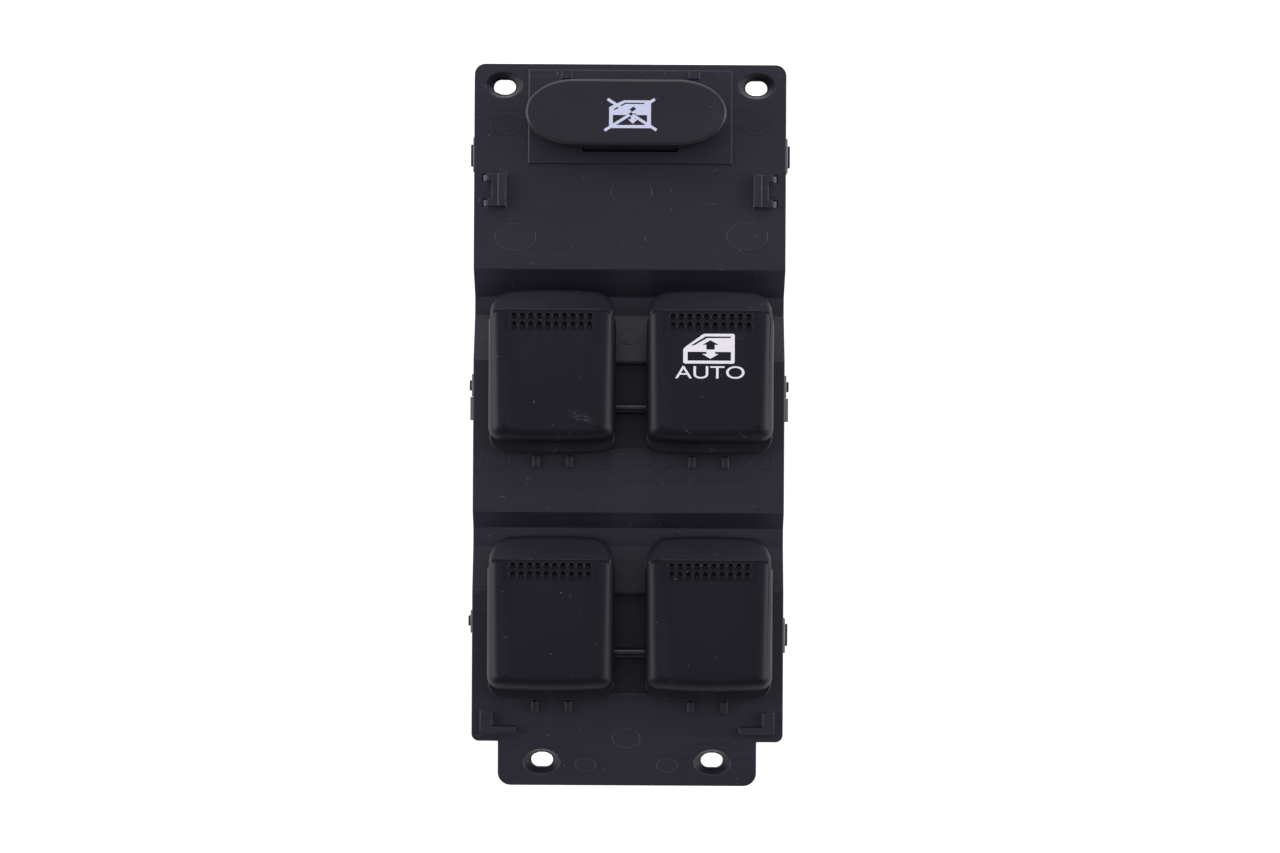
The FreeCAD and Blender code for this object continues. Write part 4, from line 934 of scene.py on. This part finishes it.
# The signs are drawn on a grid of 12 steps to a pixel of the photograph, 5.102 pixels to a
# millimetre, with the second number downwards.
window_frame = rounded(((185, 285), (430, 107), (803, 107), (803, 466), (185, 466)), 26)
window_slot = ((278, 247), (318, 247), (468, 160), (757, 158), (757, 140), (455, 140))
up_arrow = ((512, 185), (612, 240), (563, 240), (563, 297), (463, 297), (463, 240), (415, 240))
lower_pane = ((238, 325), (463, 325), (463, 350), (412, 350), (512, 408), (612, 350), (568, 350),
              (568, 325), (758, 325), (758, 430), (238, 430))
window_sign = (window_frame, window_slot, up_arrow, lower_pane)
sign_centre = (493, 287)
sign_scale = 1 / 12 / 5.102
cap_top_z = 38.0
cap_ink = white_ink("cap_ink", (0.86, 0.86, 0.88))
flat_print("window_sign_cap", window_sign, (sign_centre, (15.68, 15.08)), (sign_scale, sign_scale),
           cap_ink, "cap_front_right", cap_top_z)

auto_text = bpy.data.curves.new("auto_text", "FONT")
auto_text.body = "AUTO"
auto_text.align_x = "CENTER"
auto_text.align_y = "CENTER"
auto_text.size = 1.0
word_place = (15.89, 10.45)
word_size = (13.6, 2.45)
auto_text.extrude = print_thickness / 2 / word_size[1]
auto_word = printed("auto_word_cap", auto_text, word_place, cap_ink, "cap_front_right", cap_top_z)
word_low = Vector([min(v.co[i] for v in auto_word.data.vertices) for i in range(3)])
word_high = Vector([max(v.co[i] for v in auto_word.data.vertices) for i in range(3)])
word_middle = (word_low + word_high) / 2
stretch = Matrix.Diagonal((word_size[0] * MM / (word_high.x - word_low.x),
                           word_size[1] * MM / (word_high.y - word_low.y), 1, 1))
back_in_place = Matrix.Translation((word_place[0] * MM, word_place[1] * MM, word_middle.z))
auto_word.data.transform(back_in_place @ stretch @ Matrix.Translation(-word_middle))


# The lock button: an oval black cap on a sprung block, with a crossed-out window in bluish white.
# It drives a white plunger into the switch on the board.
lock_plastic = moulded_plastic("lock_plastic", (0.0115, 0.0106, 0.0165), 0.42, grains=6000.0,
                               grain_depth=0.01, clouds=0.12, dust=0.3, rub=0.5)
lock_cap = softened_copy("lock_button", "lock_cap", 0.12 * MM, "lock", crease_deg=28.0)
lock_cap.data.materials.append(lock_plastic)
finish("lock_plunger", natural_plastic)
finish("lock_spring", spring_wire)
lock_ink = white_ink("lock_ink", (0.62, 0.67, 0.84))
lock_top_z = 38.0
lock_frame = rounded(((110, 205), (285, 124), (612, 124), (612, 457), (110, 457)), 10)
lock_slot = ((160, 232), (300, 152), (540, 152), (525, 167), (308, 167), (172, 243))
lock_up_arrow = ((400, 198), (454, 240), (427, 240), (427, 300), (374, 300), (374, 243), (345, 243))
lock_pane = ((155, 300), (370, 300), (370, 350), (335, 350), (395, 405), (455, 350), (420, 350),
             (420, 300), (565, 300), (565, 420), (155, 420))
lock_sign_place = ((360, 290), (-0.04, 60.96))
# Two strokes cross the sign out. They are drawn on the same grid and lie a hair above it.
stroke_half_width = 17
stroke_rise = 0.004
flat_print("window_sign_lock", (lock_frame, lock_slot, lock_up_arrow, lock_pane), lock_sign_place,
           (sign_scale, sign_scale), lock_ink, "lock", lock_top_z)
for stroke, start, end in (("a", (90, 110), (680, 480)), ("b", (657, 110), (55, 486))):
    along = (Vector(end) - Vector(start)).normalized()
    across = Vector((-along.y, along.x)) * stroke_half_width
    ends = (Vector(start), Vector(end))
    stripe = [tuple(ends[0] + across), tuple(ends[1] + across), tuple(ends[1] - across),
              tuple(ends[0] - across)]
    flat_print("cross_stroke_" + stroke, (stripe,), lock_sign_place, (sign_scale, sign_scale),
               lock_ink, "lock", lock_top_z + stroke_rise)
